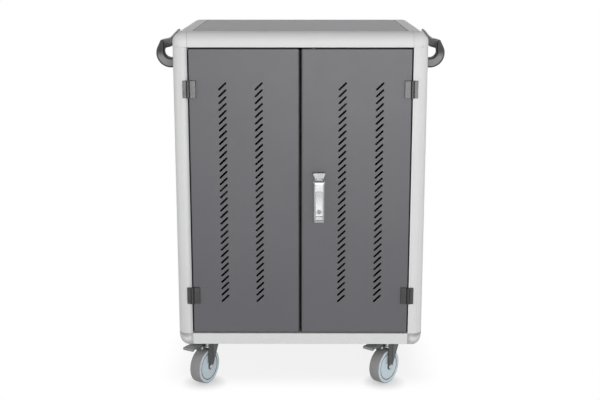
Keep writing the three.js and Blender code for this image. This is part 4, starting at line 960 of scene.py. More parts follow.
low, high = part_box("left_handle")
shade = [low.z + share * (high.z - low.z) for share in END_SHADE]
# Painted shade: the handle's end faces go dark at the top and pale lower down.
end_plastic = painted_light_by_height(
    "plastic end with painted shade", *shade, (0.014, 0.014, 0.015), (0.205, 0.205, 0.207), 0.62, 0.0, 1500.0, (1, 1, 1), 0.00005,
)
for side, sign in (("left", -1), ("right", 1)):
    low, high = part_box(side + "_handle")
    root = low.x if sign > 0 else high.x
    turns = [0.5 * pi * i / RIM_STEPS for i in range(RIM_STEPS)]
    rim = [(RIM_ROUND * (1 - cos(turn)), RIM_ROUND * (1 - sin(turn))) for turn in turns]
    length = high.y - low.y - 2 * RIM_ROUND
    rings = [(low.y + step, inset) for step, inset in rim]
    rings += [(low.y + RIM_ROUND + length * i / STATIONS, 0) for i in range(STATIONS + 1)]
    rings += [(high.y - step, inset) for step, inset in reversed(rim)]
    spots = [(root + sign * u, level, v) for level, inset in rings for u, v in hook(low, high, inset)]
    profile = bmesh.new()
    drawn = add_drawn(profile, "y", hook(low, high, 0), *[level for level, inset in rings])
    for vertex, spot in zip(drawn, spots):
        vertex.co = spot
    handle = as_object(side + "_push_handle", profile, handle_plastic)
    start, end, ceiling = low.y + HANDLE_WINDOW_INSET, high.y - HANDLE_WINDOW_INSET, high.z - GRIP_HEIGHT
    gap = [(start, low.z - MM), (end, low.z - MM)]
    gap += arc(end - WINDOW_ROUND, ceiling - WINDOW_ROUND, WINDOW_ROUND, 0, 90, 12)
    gap += arc(start + WINDOW_ROUND, ceiling - WINDOW_ROUND, WINDOW_ROUND, 90, 180, 12)
    window = bmesh.new()
    add_drawn(window, "x", gap, low.x - MM, high.x + MM)
    carve(handle, window)
    sag(handle, low, high, ceiling)
    soften(handle, 2.0 * MM, 3, 40)
    # Painted shade: faces towards the cart, the rims and the tops of the lower arms take the darker plastic.
    face_finish(handle, end_plastic, looks_forward)
    face_finish(handle, shaded_plastic, lambda polygon: -sign * polygon.normal.x > 0.3 or 0.25 < abs(polygon.normal.y) < 0.995
                or (polygon.normal.z > 0.5 and polygon.center.z < ceiling))
    hand_over(handle, "handle_plastic", side + "_handle")
    print(handle.name, "reaches", round((high.x - low.x) / MM, 1), "mm with", len(handle.data.polygons), "faces")

# %% [markdown]
# ## Caster forks and plates
# A caster is a plate bolted under the floor, a ball race, and a fork that trails behind its swivel axis, so
# that the wheel follows. The forks are built once around a swivel axis with the wheel trailing along X, and a
# placing matrix turns each one to the heading that its joints give.

# %% Where the casters stand
CORNERS = ("front_left", "front_right", "rear_left", "rear_right")
WHEEL_RADIUS = 50 * MM
LEG_INNER = 19.7 * MM
LEG_OUTER = 22.7 * MM
CROWN_TOP = 130.3 * MM
CROWN_BOTTOM = 123.3 * MM
PLATE_BOTTOM = 138 * MM
stands = {}
for corner in CORNERS:
    swivel = Vector(joints[corner + "_swivel_turn"]["pos_m"])
    hub = Vector(joints[corner + "_wheel_spin"]["pos_m"])
    heading = atan2(hub.y - swivel.y, hub.x - swivel.x)
    trail = (hub - swivel).xy.length
    stands[corner] = Matrix.Translation((swivel.x, swivel.y, 0)) @ Matrix.Rotation(heading, 4, "Z")
print("trail", round(trail / MM, 1), "mm, heading", round(heading * 180 / pi), "degrees")

# %% Forks with crown, legs and axle
PEDAL_TRAIL = 50 * MM
PEDAL_LEVEL = joints["front_left_brake_press"]["pos_m"][2]
LEG_FRONT = 14 * MM
LEG_SHOULDER = CROWN_BOTTOM - 6 * MM
LEG_END = 9 * MM
RIB_RISE = 1.2 * MM


def caster_fork(braked):
    """Pressed fork: a crown under the race, two legs and the axle."""
    back = trail + LEG_END
    ear = PEDAL_TRAIL + 6 * MM if braked else back
    leg = [(-LEG_FRONT, CROWN_TOP - MM), (-LEG_FRONT, LEG_SHOULDER)]
    leg += arc(trail, WHEEL_RADIUS, LEG_END, 207, 360, 24)
    if braked:
        leg += [(back, PEDAL_LEVEL - 10 * MM), (ear, PEDAL_LEVEL - 6 * MM)]
    leg += [(ear, CROWN_TOP - 4 * MM), (ear - 4 * MM, CROWN_TOP - MM)]
    shape = bmesh.new()
    crown = arc(22 * MM, LEG_OUTER - 7 * MM, 7 * MM, 0, 90, 8) + arc(-22 * MM, LEG_OUTER - 7 * MM, 7 * MM, 90, 180, 8)
    crown += [(u, -v) for u, v in reversed(crown)]
    add_drawn(shape, "z", crown, CROWN_BOTTOM, CROWN_TOP)
    for start, end in ((LEG_INNER, LEG_OUTER), (-LEG_OUTER, -LEG_INNER)):
        add_drawn(shape, "y", leg, start, end)
    pin(shape, (trail, -LEG_OUTER, WHEEL_RADIUS), (0, 1, 0), 5 * MM, 2 * LEG_OUTER)
    if braked:
        pin(shape, (PEDAL_TRAIL, -LEG_OUTER, PEDAL_LEVEL), (0, 1, 0), 3 * MM, 2 * LEG_OUTER, 24)
    return shape


def leg_ribs():
    """Shallow pressed panel on the outside of each leg, narrower towards the axle."""
    top = CROWN_BOTTOM - 2 * MM
    outline = [(18 * MM, top), (0, top), (1 * MM, 104 * MM), (16 * MM, 70 * MM), (18 * MM, 66 * MM)]
    shape = bmesh.new()
    for way in (-1, 1):
        add_drawn(shape, "y", outline, way * (LEG_OUTER - MM), way * (LEG_OUTER + RIB_RISE))
    return shape


for corner in CORNERS:
    shape = caster_fork(corner.startswith("front"))
    shape.transform(stands[corner])
    fork = as_object(corner + "_fork_pressing", shape, fork_metal)
    king_hole = bmesh.new()
    centre = stands[corner].translation
    pin(king_hole, (centre.x, centre.y, CROWN_BOTTOM - MM), (0, 0, 1), 6.3 * MM, CROWN_TOP - CROWN_BOTTOM + 2 * MM)
    carve(fork, king_hole)
    hand_over(soften(fork, 1.0 * MM), "fork_metal", corner + "_caster_fork")
    ribs = leg_ribs()
    ribs.transform(stands[corner])
    # Painted highlight: the ribs take a lighter steel than the black fork, for a bright band down each leg.
    made = soften(as_object(corner + "_fork_ribs", ribs, rod_and_rib_sheen_steel), 0.8 * MM)
    hand_over(made, "fork_metal", body=carrier[corner + "_caster_fork"])
print("fork has", len(fork.data.polygons), "faces")

# %% Top plates with race, kingpin and nut
for corner in CORNERS:
    centre = stands[corner].translation
    low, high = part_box(corner + "_caster_plate")
    shape = bmesh.new()
    u, v, r = (high.x - low.x) / 2, (high.y - low.y) / 2, 8 * MM
    outline = []
    for sx, sy, start in ((1, 1, 0), (-1, 1, 90), (-1, -1, 180), (1, -1, 270)):
        outline += arc(centre.x + sx * (u - r), centre.y + sy * (v - r), r, start, start + 90, 6)
    add_drawn(shape, "z", outline, PLATE_BOTTOM, high.z)
    upright = Matrix.Translation((centre.x, centre.y, 0))
    race = [(0, 130.6), (19, 130.6), (22.5, 131.3), (24.4, 133.2), (25, 135.5), (25, 138.5), (0, 138.5)]
    add_turned(shape, [(radius * MM, level * MM) for radius, level in race], 64, upright)
    pin(shape, (centre.x, centre.y, low.z), (0, 0, 1), 6 * MM, PLATE_BOTTOM - low.z, 32, 0.8 * MM)
    nut = [(0, low.z), (8.8 * MM, low.z), (10 * MM, low.z + MM), (10 * MM, low.z + 6 * MM), (8.8 * MM, low.z + 7 * MM), (0, low.z + 7 * MM)]
    add_turned(shape, nut, 6, upright)
    # Painted shade: the plates under the floor take a darker zinc than the fasteners.
    plate = as_object(corner + "_swivel_plate", shape, shaded_zinc)
    hand_over(soften(plate, 0.5 * MM), "zinc_steel", corner + "_caster_plate")
print("swivel plate has", len(plate.data.polygons), "faces")

# %% [markdown]
# ## Wheels
# A wheel is a plastic disc with a soft tread moulded around it. Both are turned shapes. They are separate pieces
# because they are separate materials: the disc has a shallow ring groove and a hub, and the tread has a gentle
# crown and rounded shoulders.

# %% Disc and tread of each wheel
WHEEL_STEPS = 96
RIM = 48.2
RING = (37.3, 39.3)
disc_half = [
    (5.4, 18.1), (11.4, 18.1), (12.4, 17.5), (13.0, 16.4), (37.2, 16.2), (37.7, 15.0), (38.9, 15.0), (39.4, 16.4),
    (40.2, 16.8), (47.0, 16.8), (47.8, 16.4), (RIM, 15.4),
]
tread_half = [(RIM, 15.2), (48.6, 16.2), (49.0, 16.0), (49.4, 14.8), (49.7, 12.4), (49.9, 8.6), (50.0, 3.0)]


def both_sides(half):
    """Closed profile from one half, in millimetres."""
    profile = [(r, -h) for r, h in half] + [(r, h) for r, h in reversed(half)]
    return [(r * MM, h * MM) for r, h in profile + [profile[0]]]


for corner in CORNERS:
    hub = Vector(joints[corner + "_wheel_spin"]["pos_m"])
    turn = along(hub, joints[corner + "_wheel_spin"]["axis"])
    for part, half, finish in (("disc", disc_half, disc_plastic), ("tread", tread_half, tread_rubber)):
        shape = bmesh.new()
        add_turned(shape, both_sides(half), WHEEL_STEPS, turn)
        bmesh.ops.remove_doubles(shape, verts=shape.verts, dist=0.01 * MM)
        made = soften(as_object(f"{corner}_wheel_{part}", shape, finish), 0, limit=50)
        axis = turn.to_3x3() @ Vector((0, 0, 1))
        # Painted shade: the faces in the disc's ring groove take the dark plastic.
        face_finish(made, shaded_plastic, lambda face: RING[0] < axis.cross(face.center - hub).length / MM < RING[1])
        hand_over(made, "wheel_rubber", corner + "_wheel")
print("wheel of", len(disc_half) + len(tread_half), "profile points in", WHEEL_STEPS, "steps")

# %% [markdown]
# ## Brake pedals
# The two front casters have a foot pedal that presses on the wheel. It is a thick black lever on a cross pin, with
# a lip at the tip. Its side view is drawn out over its width. The raised bars on top repeat, so one bar's outline
# goes into a Geometry Nodes tree that gives it thickness and sets copies along a line.

# %% Geometry Nodes tree for bars in a row
bar_tree, given, result = new_tree("bars in a row", {
    "Outline": "Geometry", "Count": "Int", "Step": "Vector", "Thickness": "Vector", "Finish": "Material",
})
raised = add_node(bar_tree, "GeometryNodeExtrudeMesh", {
    "Mesh": given["Outline"], "Offset": given["Thickness"], "Offset Scale": 1.0, "Individual": False,
}).outputs[0]
back_face = add_node(bar_tree, "GeometryNodeFlipFaces", {"Mesh": given["Outline"]}).outputs[0]
closed = add_node(bar_tree, "GeometryNodeJoinGeometry", {0: raised})
bar_tree.links.new(back_face, closed.inputs[0])
welded = add_node(bar_tree, "GeometryNodeMergeByDistance", {"Geometry": closed.outputs[0], "Distance": 0.00001}).outputs[0]
row = add_node(bar_tree, "GeometryNodeMeshLine", {"Count": given["Count"], "Offset": given["Step"]}).outputs[0]
copies = add_node(bar_tree, "GeometryNodeInstanceOnPoints", {"Points": row, "Instance": welded}).outputs[0]
finish_tree(bar_tree, copies, given["Finish"], result)
print("bar tree with", len(bar_tree.nodes), "nodes")

# %% Pedals on the front casters
PEDAL_REACH = 60 * MM
PEDAL_HALF = 17 * MM
PEDAL_FLAT = 3.5 * MM
GRIP_BARS = 7
for corner in ("front_left", "front_right"):
    spot = stands[corner] @ Matrix.Translation((PEDAL_TRAIL, 0, PEDAL_LEVEL))
    shape = bmesh.new()
    outline = arc(0, 0, 6 * MM, 90, 240, 20)
    outline += [
        (0.12 * PEDAL_REACH, -11 * MM), (0.36 * PEDAL_REACH, -11 * MM), (0.44 * PEDAL_REACH, -1.5 * MM),
        (PEDAL_REACH - 6.5 * MM, -1.5 * MM), (PEDAL_REACH - 5 * MM, -4.5 * MM), (PEDAL_REACH - 1.5 * MM, -4.5 * MM),
        (PEDAL_REACH, -3 * MM), (PEDAL_REACH, 2 * MM), (PEDAL_REACH - 1.5 * MM, PEDAL_FLAT), (0.2 * PEDAL_REACH, PEDAL_FLAT),
    ]
    add_drawn(shape, "y", outline, -PEDAL_HALF, PEDAL_HALF)
    shape.transform(spot)
    pedal = as_object(corner + "_pedal_moulding", shape, fork_metal)
    bore = bmesh.new()
    pin(bore, (0, -2 * PEDAL_HALF, 0), (0, 1, 0), 3.3 * MM, 4 * PEDAL_HALF)
    bore.transform(spot)
    carve(pedal, bore)
    soften(pedal, 1.0 * MM, 3)
    # Painted light: the upward faces of the pedal's far half, and the bars on top, take a lighter steel.
    face_finish(pedal, lit_pedal_steel, lambda polygon: polygon.normal.z > -0.3
                and (polygon.center - spot.translation).length > 0.5 * PEDAL_REACH)
    hand_over(pedal, "fork_metal", corner + "_brake_pedal")

    flat = bmesh.new()
    bar = [(0, 0), (2.4, 0), (1.8, 0.8), (0.6, 0.8)]
    start = Vector((23 * MM, 3 * MM - PEDAL_HALF, PEDAL_FLAT - 0.1 * MM))
    flat.faces.new([flat.verts.new(start + Vector((u * MM, 0, v * MM))) for u, v in bar])
    bar_mesh = bpy.data.meshes.new(corner + "_bar")
    flat.to_mesh(bar_mesh)
    flat.free()
    bars = grown(corner + "_pedal_bars", bar_tree, {
        "Count": GRIP_BARS, "Step": (5 * MM, 0, 0), "Thickness": (0, 2 * (PEDAL_HALF - 3 * MM), 0), "Finish": lit_pedal_steel,
    }, bar_mesh)
    shape = bmesh.new()
    shape.from_mesh(bars.data)
    bpy.data.objects.remove(bars)
    shape.transform(spot)
    bars = as_object(corner + "_pedal_bars", shape, lit_pedal_steel)
    hand_over(soften(bars, 0), "fork_metal", body=carrier[corner + "_brake_pedal"])
print("pedal has", len(pedal.data.polygons), "faces and", GRIP_BARS, "bars")

# %% [markdown]
# ## Inside: shelf, partition and floor
# Behind the doors a shelf makes two tiers, and an upright partition keeps the adapters apart from the laptops.
# These are plain sheet pieces, so a copy of each CAD solid with a small edge is all that they need. The cable
# slots get a rubber edge strip, made as a curve with a round section.

# %% Sheet pieces inside
for node in ("upper_shelf", "partition_panel", "floor_panel"):
    sheet = rounded_copy(node, 0.5 * MM, panel_paint, "panel_paint")
    face_finish(sheet, seal_rubber, lambda polygon: node == "upper_shelf" and looks_forward(polygon))

EDGE_STRIP = 2.6 * MM
SLOT_SIDE = 239.7 * MM
SLOT_HALF = 20 * MM
partition_low, partition_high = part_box("partition_panel")
middle_y = (partition_low.y + partition_high.y) / 2
openings = {opening["name"]: opening["box_m"] for opening in frame["record"]["physics"]["openings"]}
for name in ("lower_cable_slot", "upper_cable_slot"):
    level = (openings[name][0][2] + openings[name][1][2]) / 2
    path = bpy.data.curves.new(name + "_edge", "CURVE")
    path.dimensions = "3D"
    path.bevel_depth = EDGE_STRIP
    path.bevel_resolution = 3
    line = path.splines.new("POLY")
    points = []
    for sx, sz, start in ((1, 1, 0), (-1, 1, 90), (-1, -1, 180), (1, -1, 270)):
        points += arc(sx * (SLOT_SIDE - 4 * MM), level + sz * (SLOT_HALF - 4 * MM), 4 * MM, start, start + 90, 5)
    line.points.add(len(points) - 1)
    for point, (u, v) in zip(line.points, points):
        point.co = (u, middle_y, v, 1)
    line.use_cyclic_u = True
    strip = bpy.data.objects.new(name + "_edge_strip", path)
    scene.collection.objects.link(strip)
    graph = bpy.context.evaluated_depsgraph_get()
    mesh = bpy.data.meshes.new_from_object(strip.evaluated_get(graph), depsgraph=graph)
    bpy.data.objects.remove(strip)
    mesh.materials.append(seal_rubber)
    strip = bpy.data.objects.new(name + "_edge_strip", mesh)
    scene.collection.objects.link(strip)
    hand_over(soften(strip, 0), "rack_plastic", body="cabinet")
print("two edge strips around", round(2 * SLOT_SIDE / MM), "mm slots")

# %% [markdown]
# ## Divider racks
# A rack is a base with eleven upright fins that part ten laptop bays. The fins repeat like the bars on the pedals,
# so the same tree makes them from the outline of one fin.

# %% Lower and upper rack
FIN = 3 * MM
BAYS = 10
FIN_SLOPE = 60 * MM
for node in ("lower_divider_rack", "upper_divider_rack"):
    low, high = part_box(node)
    outline = [(low.y, low.z), (high.y, low.z)] + arc(high.y - 8 * MM, high.z - 8 * MM, 8 * MM, 0, 90, 6)
    outline += [(low.y + FIN_SLOPE + 6 * MM, high.z), (low.y + FIN_SLOPE - 4 * MM, high.z - 3 * MM)]
    outline += [(low.y + 3 * MM, high.z - FIN_SLOPE + 3 * MM), (low.y, high.z - FIN_SLOPE - 6 * MM)]
    flat = bmesh.new()
    flat.faces.new([flat.verts.new((low.x, u, v)) for u, v in outline])
    bmesh.ops.recalc_face_normals(flat, faces=flat.faces)
    if flat.faces[:][0].normal.x < 0:
        bmesh.ops.reverse_faces(flat, faces=flat.faces)
    fin_mesh = bpy.data.meshes.new(node + "_fin")
    flat.to_mesh(fin_mesh)
    flat.free()
    pitch = (high.x - low.x - FIN) / BAYS
    row_of_fins = grown(node + "_fins", bar_tree, {
        "Count": BAYS + 1, "Step": (pitch, 0, 0), "Thickness": (FIN, 0, 0), "Finish": rack_plastic,
    }, fin_mesh)
    shape = bmesh.new()
    shape.from_mesh(row_of_fins.data)
    bpy.data.objects.remove(row_of_fins)
    add_block(shape, (low.x + MM, low.y, low.z), (high.x - MM, high.y, low.z + FIN))
    rack = as_object(node + "_moulding", shape, rack_plastic)
    hand_over(soften(rack, 0.7 * MM), "rack_plastic", node)
    print(rack.name, "has", BAYS + 1, "fins at", round(pitch / MM, 1), "mm and", len(rack.data.polygons), "faces")

# %% [markdown]
# ## Power strips, inlet and switch
# Each tier has a power strip with ten outlets on the back of the partition. The outlet faces repeat, so a tree
# fills a rounded outline around three slits, gives it depth and sets it along the strip. The mains inlet with
# its rocker switch sits low on the right side.

# %% Geometry Nodes tree for outlet faces in a row
outlet_tree, given, result = new_tree("outlet faces", {
    "Count": "Int", "Pitch": "Float", "Width": "Float", "Height": "Float", "Depth": "Float",
    "Slit Length": "Float", "Slit Width": "Float", "Slit Spacing": "Float", "Finish": "Material",
})
face_frame = add_node(outlet_tree, "GeometryNodeCurvePrimitiveQuadrilateral", {
    "Width": given["Width"], "Height": given["Height"],
}).outputs[0]
face_curve = add_node(outlet_tree, "GeometryNodeFilletCurve", {
    "Curve": face_frame, "Count": 3, "Radius": reckon(outlet_tree, "MULTIPLY", given["Height"], 0.15),
}, mode="POLY").outputs[0]
slit = add_node(outlet_tree, "GeometryNodeCurvePrimitiveQuadrilateral", {
    "Width": given["Slit Width"], "Height": given["Slit Length"],
}).outputs[0]
slit_row = add_node(outlet_tree, "GeometryNodeMeshLine", {
    "Count": 3, "Start Location": vector(outlet_tree, reckon(outlet_tree, "MULTIPLY", given["Slit Spacing"], -1.0)),
    "Offset": vector(outlet_tree, given["Slit Spacing"]),
}).outputs[0]
slits = add_node(outlet_tree, "GeometryNodeInstanceOnPoints", {"Points": slit_row, "Instance": slit}).outputs[0]
slit_curves = add_node(outlet_tree, "GeometryNodeRealizeInstances", {0: slits}).outputs[0]
curves = add_node(outlet_tree, "GeometryNodeJoinGeometry", {0: face_curve})
outlet_tree.links.new(slit_curves, curves.inputs[0])
face = add_node(outlet_tree, "GeometryNodeFillCurve", {"Curve": curves.outputs[0]}).outputs[0]
raised = add_node(outlet_tree, "GeometryNodeExtrudeMesh", {
    "Mesh": face, "Offset": vector(outlet_tree, 0.0, 0.0, given["Depth"]), "Offset Scale": 1.0, "Individual": False,
}).outputs[0]
closed = add_node(outlet_tree, "GeometryNodeJoinGeometry", {0: raised})
outlet_tree.links.new(add_node(outlet_tree, "GeometryNodeFlipFaces", {"Mesh": face}).outputs[0], closed.inputs[0])
raised = add_node(outlet_tree, "GeometryNodeMergeByDistance", {"Geometry": closed.outputs[0], "Distance": WELD}).outputs[0]
row = add_node(outlet_tree, "GeometryNodeMeshLine", {
    "Count": given["Count"], "Offset": vector(outlet_tree, given["Pitch"]),
    "Start Location": vector(outlet_tree, reckon(
        outlet_tree, "MULTIPLY", reckon(outlet_tree, "SUBTRACT", given["Count"], 1),
        reckon(outlet_tree, "MULTIPLY", given["Pitch"], -0.5),
    )),
}).outputs[0]
outlets = add_node(outlet_tree, "GeometryNodeInstanceOnPoints", {"Points": row, "Instance": raised}).outputs[0]
finish_tree(outlet_tree, outlets, given["Finish"], result)
print("outlet tree with", len(outlet_tree.nodes), "nodes")

# %% Strips with their outlets
OUTLETS = 10
for node in ("lower_power_strip", "upper_power_strip"):
    rounded_copy(node, 1.2 * MM, power_plastic, "power_plastic", 3)
    low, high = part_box(node)
    faces = grown(node + "_outlets", outlet_tree, {
        "Count": OUTLETS, "Pitch": (high.x - low.x) / OUTLETS, "Width": 23 * MM, "Height": 17 * MM, "Depth": 2 * MM,
        "Slit Length": 5.5 * MM, "Slit Width": 1.7 * MM, "Slit Spacing": 5 * MM, "Finish": outlet_plastic,
    })
    middle = (low + high) / 2
    across, upward, outward = (Vector(axis) for axis in FACING["rear"])
    turn = Matrix((across, upward, outward)).transposed().to_4x4()
    faces.data.transform(Matrix.Translation((middle.x, high.y - 2.8 * MM, middle.z)) @ turn)
    hand_over(soften(faces, 0), "power_plastic", body="cabinet")
print(2 * OUTLETS, "outlets at", round((high.x - low.x) / OUTLETS / MM, 1), "mm")

# %% Mains inlet, its blades and the rocker
rounded_copy("power_inlet", 0.8 * MM, power_plastic, "power_plastic", 3)
rounded_copy("rocker_switch", 1.0 * MM, switch_plastic, "switch_plastic", 3)
socket_low, socket_high = (Vector(corner) for corner in openings["inlet_socket"])
middle = (socket_low + socket_high) / 2
blades = bmesh.new()
for dy, dz in ((-7, -1.5), (0, 2.5), (7, -1.5)):
    y, level = middle.y + dy * MM, middle.z + dz * MM
    add_block(blades, (socket_low.x - 2 * MM, y - MM, level - 2 * MM), (socket_low.x + 9 * MM, y + MM, level + 2 * MM))
hand_over(soften(as_object("inlet_blades", blades, zinc_steel), 0.4 * MM), "zinc_steel", body="cabinet")

# %% [markdown]
# ## Fasteners
# Screws, bolts and nuts repeat all over the cart. Each one is a point with a direction. A Geometry Nodes tree turns
# a washer and a head to that direction and sets them on the point, so one small tree serves every body.

# %% Geometry Nodes tree for fasteners
bolt_tree, given, result = new_tree("fasteners", {
    "Points": "Geometry", "Head Sides": "Int", "Head Radius": "Float", "Head Height": "Float",
    "Washer Radius": "Float", "Washer Height": "Float", "Finish": "Material",
})


def disc(sides, radius, height, start):
    """Flat round or six-sided disc that stands on a level."""
    made = add_node(bolt_tree, "GeometryNodeMeshCylinder", {"Vertices": sides, "Radius": radius, "Depth": height}).outputs[0]
    level = reckon(bolt_tree, "ADD", start, reckon(bolt_tree, "MULTIPLY", height, 0.5))
    return add_node(bolt_tree, "GeometryNodeTransform", {
        "Geometry": made, "Translation": vector(bolt_tree, 0.0, 0.0, level),
    }).outputs[0]


washer = disc(20, given["Washer Radius"], given["Washer Height"], 0.0)
head = disc(given["Head Sides"], given["Head Radius"], given["Head Height"], given["Washer Height"])
bolt = add_node(bolt_tree, "GeometryNodeJoinGeometry", {0: washer})
bolt_tree.links.new(head, bolt.inputs[0])
way = add_node(bolt_tree, "GeometryNodeInputNamedAttribute", {"Name": "way"}, data_type="FLOAT_VECTOR").outputs[0]
turn = add_node(bolt_tree, "FunctionNodeAlignRotationToVector", {"Vector": way}, axis="Z").outputs[0]
bolts = add_node(bolt_tree, "GeometryNodeInstanceOnPoints", {
    "Points": given["Points"], "Instance": bolt.outputs[0], "Rotation": turn,
}).outputs[0]
finish_tree(bolt_tree, bolts, given["Finish"], result)


def fasten(name, body, spots, sides, radius, height, washer_radius, washer_height, edge, finish=zinc_steel):
    """Fasteners on points, each with the direction that it faces."""
    mesh = bpy.data.meshes.new(name)
    mesh.from_pydata([tuple(point) for point, facing in spots], [], [])
    ways = mesh.attributes.new("way", "FLOAT_VECTOR", "POINT")
    ways.data.foreach_set("vector", [value for point, facing in spots for value in Vector(facing).normalized()])
    made = grown(name, bolt_tree, {
        "Head Sides": sides, "Head Radius": radius, "Head Height": height, "Washer Radius": washer_radius,
        "Washer Height": washer_height, "Finish": finish,
    }, mesh)
    hand_over(soften(made, edge), "zinc_steel", body=body)
    print(name, len(spots), "on", body)

# %% Bolts on the casters
for corner in CORNERS:
    centre = stands[corner].translation
    spots = [((centre.x + sx * 26 * MM, centre.y + sy * 23 * MM, PLATE_BOTTOM), (0, 0, -1)) for sx in (-1, 1) for sy in (-1, 1)]
    fasten(corner + "_plate_bolts", "cabinet", spots, 6, 4.6 * MM, 3.0 * MM, 6 * MM, 0.8 * MM, 0.3 * MM)
    swivel_body = carrier[corner + "_caster_fork"]
    turn = stands[corner].to_3x3()
    spots = [(stands[corner] @ Vector((trail, s * LEG_OUTER, WHEEL_RADIUS)), turn @ Vector((0, s, 0))) for s in (-1, 1)]
    fasten(corner + "_axle_nuts", swivel_body, spots, 6, 6.0 * MM, 2.2 * MM, 7.2 * MM, 0.8 * MM, 0.4 * MM)
    if corner.startswith("front"):
        spots = [(stands[corner] @ Vector((PEDAL_TRAIL, s * LEG_OUTER, PEDAL_LEVEL)), turn @ Vector((0, s, 0))) for s in (-1, 1)]
        fasten(corner + "_pedal_nuts", swivel_body, spots, 6, 4.2 * MM, 2.4 * MM, 5.0 * MM, 0.8 * MM, 0.3 * MM)
        place = Vector((PEDAL_TRAIL + 0.26 * PEDAL_REACH, PEDAL_HALF, PEDAL_LEVEL - 7 * MM))
        spots = [(stands[corner] @ Vector((place.x, s * place.y, place.z)), turn @ Vector((0, s, 0))) for s in (-1, 1)]
        fasten(corner + "_pad_rivets", carrier[corner + "_brake_pedal"], spots, 20, 3.0 * MM, 1.0 * MM, 3.6 * MM, 0.4 * MM, 0.3 * MM)

# %% Screws inside the cabinet
strip_screws = []
for node in ("lower_power_strip", "upper_power_strip"):
    low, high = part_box(node)
    for end in (low.x + 4.5 * MM, high.x - 4.5 * MM):
        strip_screws.append(((end, high.y, (low.z + high.z) / 2), (0, 1, 0)))
fasten("strip_screws", "cabinet", strip_screws, 20, 2.6 * MM, 1.2 * MM, 3.2 * MM, 0.4 * MM, 0.3 * MM)
low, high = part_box("power_inlet")
inlet_screws = [((high.x, (low.y + high.y) / 2, level), (1, 0, 0)) for level in (low.z + 3.4 * MM, high.z - 3.4 * MM)]
fasten("inlet_screws", "cabinet", inlet_screws, 20, 2.0 * MM, 0.7 * MM, 2.4 * MM, 0.3 * MM, 0.2 * MM)

# %% [markdown]
# ## Light and floor
# The picture has the even light of a packshot: a large soft source in front, a weak one at each side, and white all
# around. The glossy hinges near the top mirror the front light, and those near the bottom mirror the floor. The
# floor is white and keeps only a faint shadow. Rays from the camera and from glossy surfaces see it white, and
# other rays see plain paint, so the white floor doesn't light the cart.

# %% White surroundings
def seen_rays(tree):
    """1 for rays that show the surroundings: from the camera, in a reflection or through glass."""
    path = add_node(tree, "ShaderNodeLightPath").outputs
    mirrored = reckon(tree, "MAXIMUM", path["Is Glossy Ray"], path["Is Transmission Ray"])
    return reckon(tree, "MAXIMUM", path["Is Camera Ray"], mirrored)


AMBIENT = 0.32
studio = bpy.data.worlds.new("studio")
scene.world = studio
studio.use_nodes = True
tree = studio.node_tree
dim = tree.nodes["Background"]
dim.inputs["Color"].default_value = (1, 1, 1, 1)
dim.inputs["Strength"].default_value = AMBIENT
white = add_node(tree, "ShaderNodeBackground", {"Color": (1, 1, 1, 1), "Strength": 1.0})
mix = add_node(tree, "ShaderNodeMixShader", {0: seen_rays(tree), 1: dim.outputs[0], 2: white.outputs[0]})
tree.links.new(mix.outputs[0], tree.nodes["World Output"].inputs["Surface"])
print("ambient level", AMBIENT)

# %% Pale floor with a faint shadow
SHADOW_SHARE = 0.16
SHADOW_REACH = (0.30, 0.15, 0)
SHADOW_FADE = 0.13
CONTACT_SHADOW_SHARE = 0.60
FLOOR_SIZE = 60.0
floor_paint = bpy.data.materials.new("white floor")
floor_paint.use_nodes = True
tree = floor_paint.node_tree
tree.nodes.remove(tree.nodes["Principled BSDF"])
place = add_node(tree, "ShaderNodeTexCoord").outputs["Object"]
beside = add_node(tree, "ShaderNodeVectorMath", {0: place}, operation="ABSOLUTE").outputs[0]
for operation, other in (("SUBTRACT", SHADOW_REACH), ("MAXIMUM", (0, 0, 0))):
    beside = add_node(tree, "ShaderNodeVectorMath", {0: beside, 1: other}, operation=operation).outputs[0]
distance = add_node(tree, "ShaderNodeVectorMath", {0: beside}, operation="LENGTH").outputs["Value"]
near = add_node(tree, "ShaderNodeMapRange", {
    "Value": distance, "From Min": 0.0, "From Max": SHADOW_FADE, "To Min": SHADOW_SHARE, "To Max": 0.0,
}, interpolation_type="SMOOTHSTEP").outputs[0]
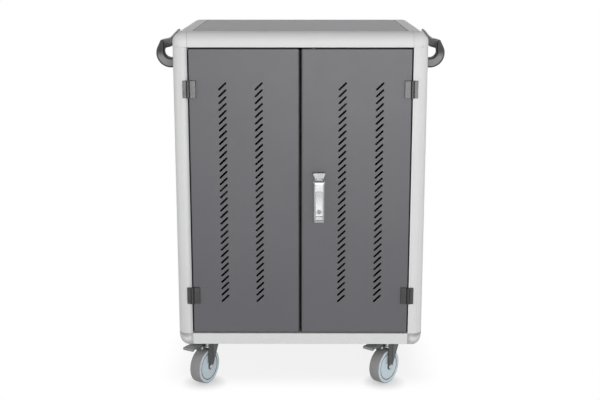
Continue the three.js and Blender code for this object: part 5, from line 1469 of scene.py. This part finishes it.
# Painted contact shadow: round patches around each wheel raise the floor's shaded share and darken it even where no
# shadow falls.
for corner in CORNERS:
    hub = Vector(joints[corner + "_wheel_spin"]["pos_m"])
    gap = add_node(tree, "ShaderNodeVectorMath", {0: place, 1: (hub.x, hub.y, 0)}, operation="DISTANCE").outputs["Value"]
    contact = add_node(tree, "ShaderNodeMapRange", {
        "Value": gap, "From Min": 0.01, "From Max": 0.085, "To Min": CONTACT_SHADOW_SHARE, "To Max": 0.0,
    }, interpolation_type="SMOOTHSTEP").outputs[0]
    near = reckon(tree, "MAXIMUM", near, contact)
paint = add_node(tree, "ShaderNodeBsdfDiffuse", {"Color": (0.8, 0.8, 0.8, 1)}).outputs[0]
glow = add_node(tree, "ShaderNodeEmission", {"Color": (1, 1, 1, 1), "Strength": 1.0}).outputs[0]
share = reckon(tree, "MULTIPLY", seen_rays(tree), reckon(tree, "SUBTRACT", 1.0, near))
mix = add_node(tree, "ShaderNodeMixShader", {0: share, 1: paint, 2: glow})
tree.links.new(mix.outputs[0], tree.nodes["Material Output"].inputs["Surface"])
ground = bmesh.new()
bmesh.ops.create_grid(ground, x_segments=1, y_segments=1, size=FLOOR_SIZE / 2)
floor = as_object("floor", ground, floor_paint)
print("floor", FLOOR_SIZE, "m wide")

# %% Soft front light
def soft_light(name, place, target, width, height, power):
    """Large rectangular lamp aimed at a point."""
    lamp = bpy.data.lights.new(name, "AREA")
    lamp.shape = "RECTANGLE"
    lamp.size = width
    lamp.size_y = height
    lamp.energy = power
    made = bpy.data.objects.new(name, lamp)
    made.location = place
    made.rotation_euler = (Vector(target) - Vector(place)).to_track_quat("-Z", "Y").to_euler()
    made.visible_camera = False
    scene.collection.objects.link(made)
    print(name, power, "W")


soft_light("front_softbox", (0.42, -4.2, 1.2), (0, 0, 0.55), 2.6, 2.4, 98)
for name, way in (("left_fill", -1), ("right_fill", 1)):
    soft_light(name, (way * 3.2, -1.4, 1.0), (0, 0, 0.55), 2.0, 2.0, 24)
soft_light("rear_fill", (0, 4.0, 0.65), (0, 0, 0.55), 2.8, 0.9, 60)
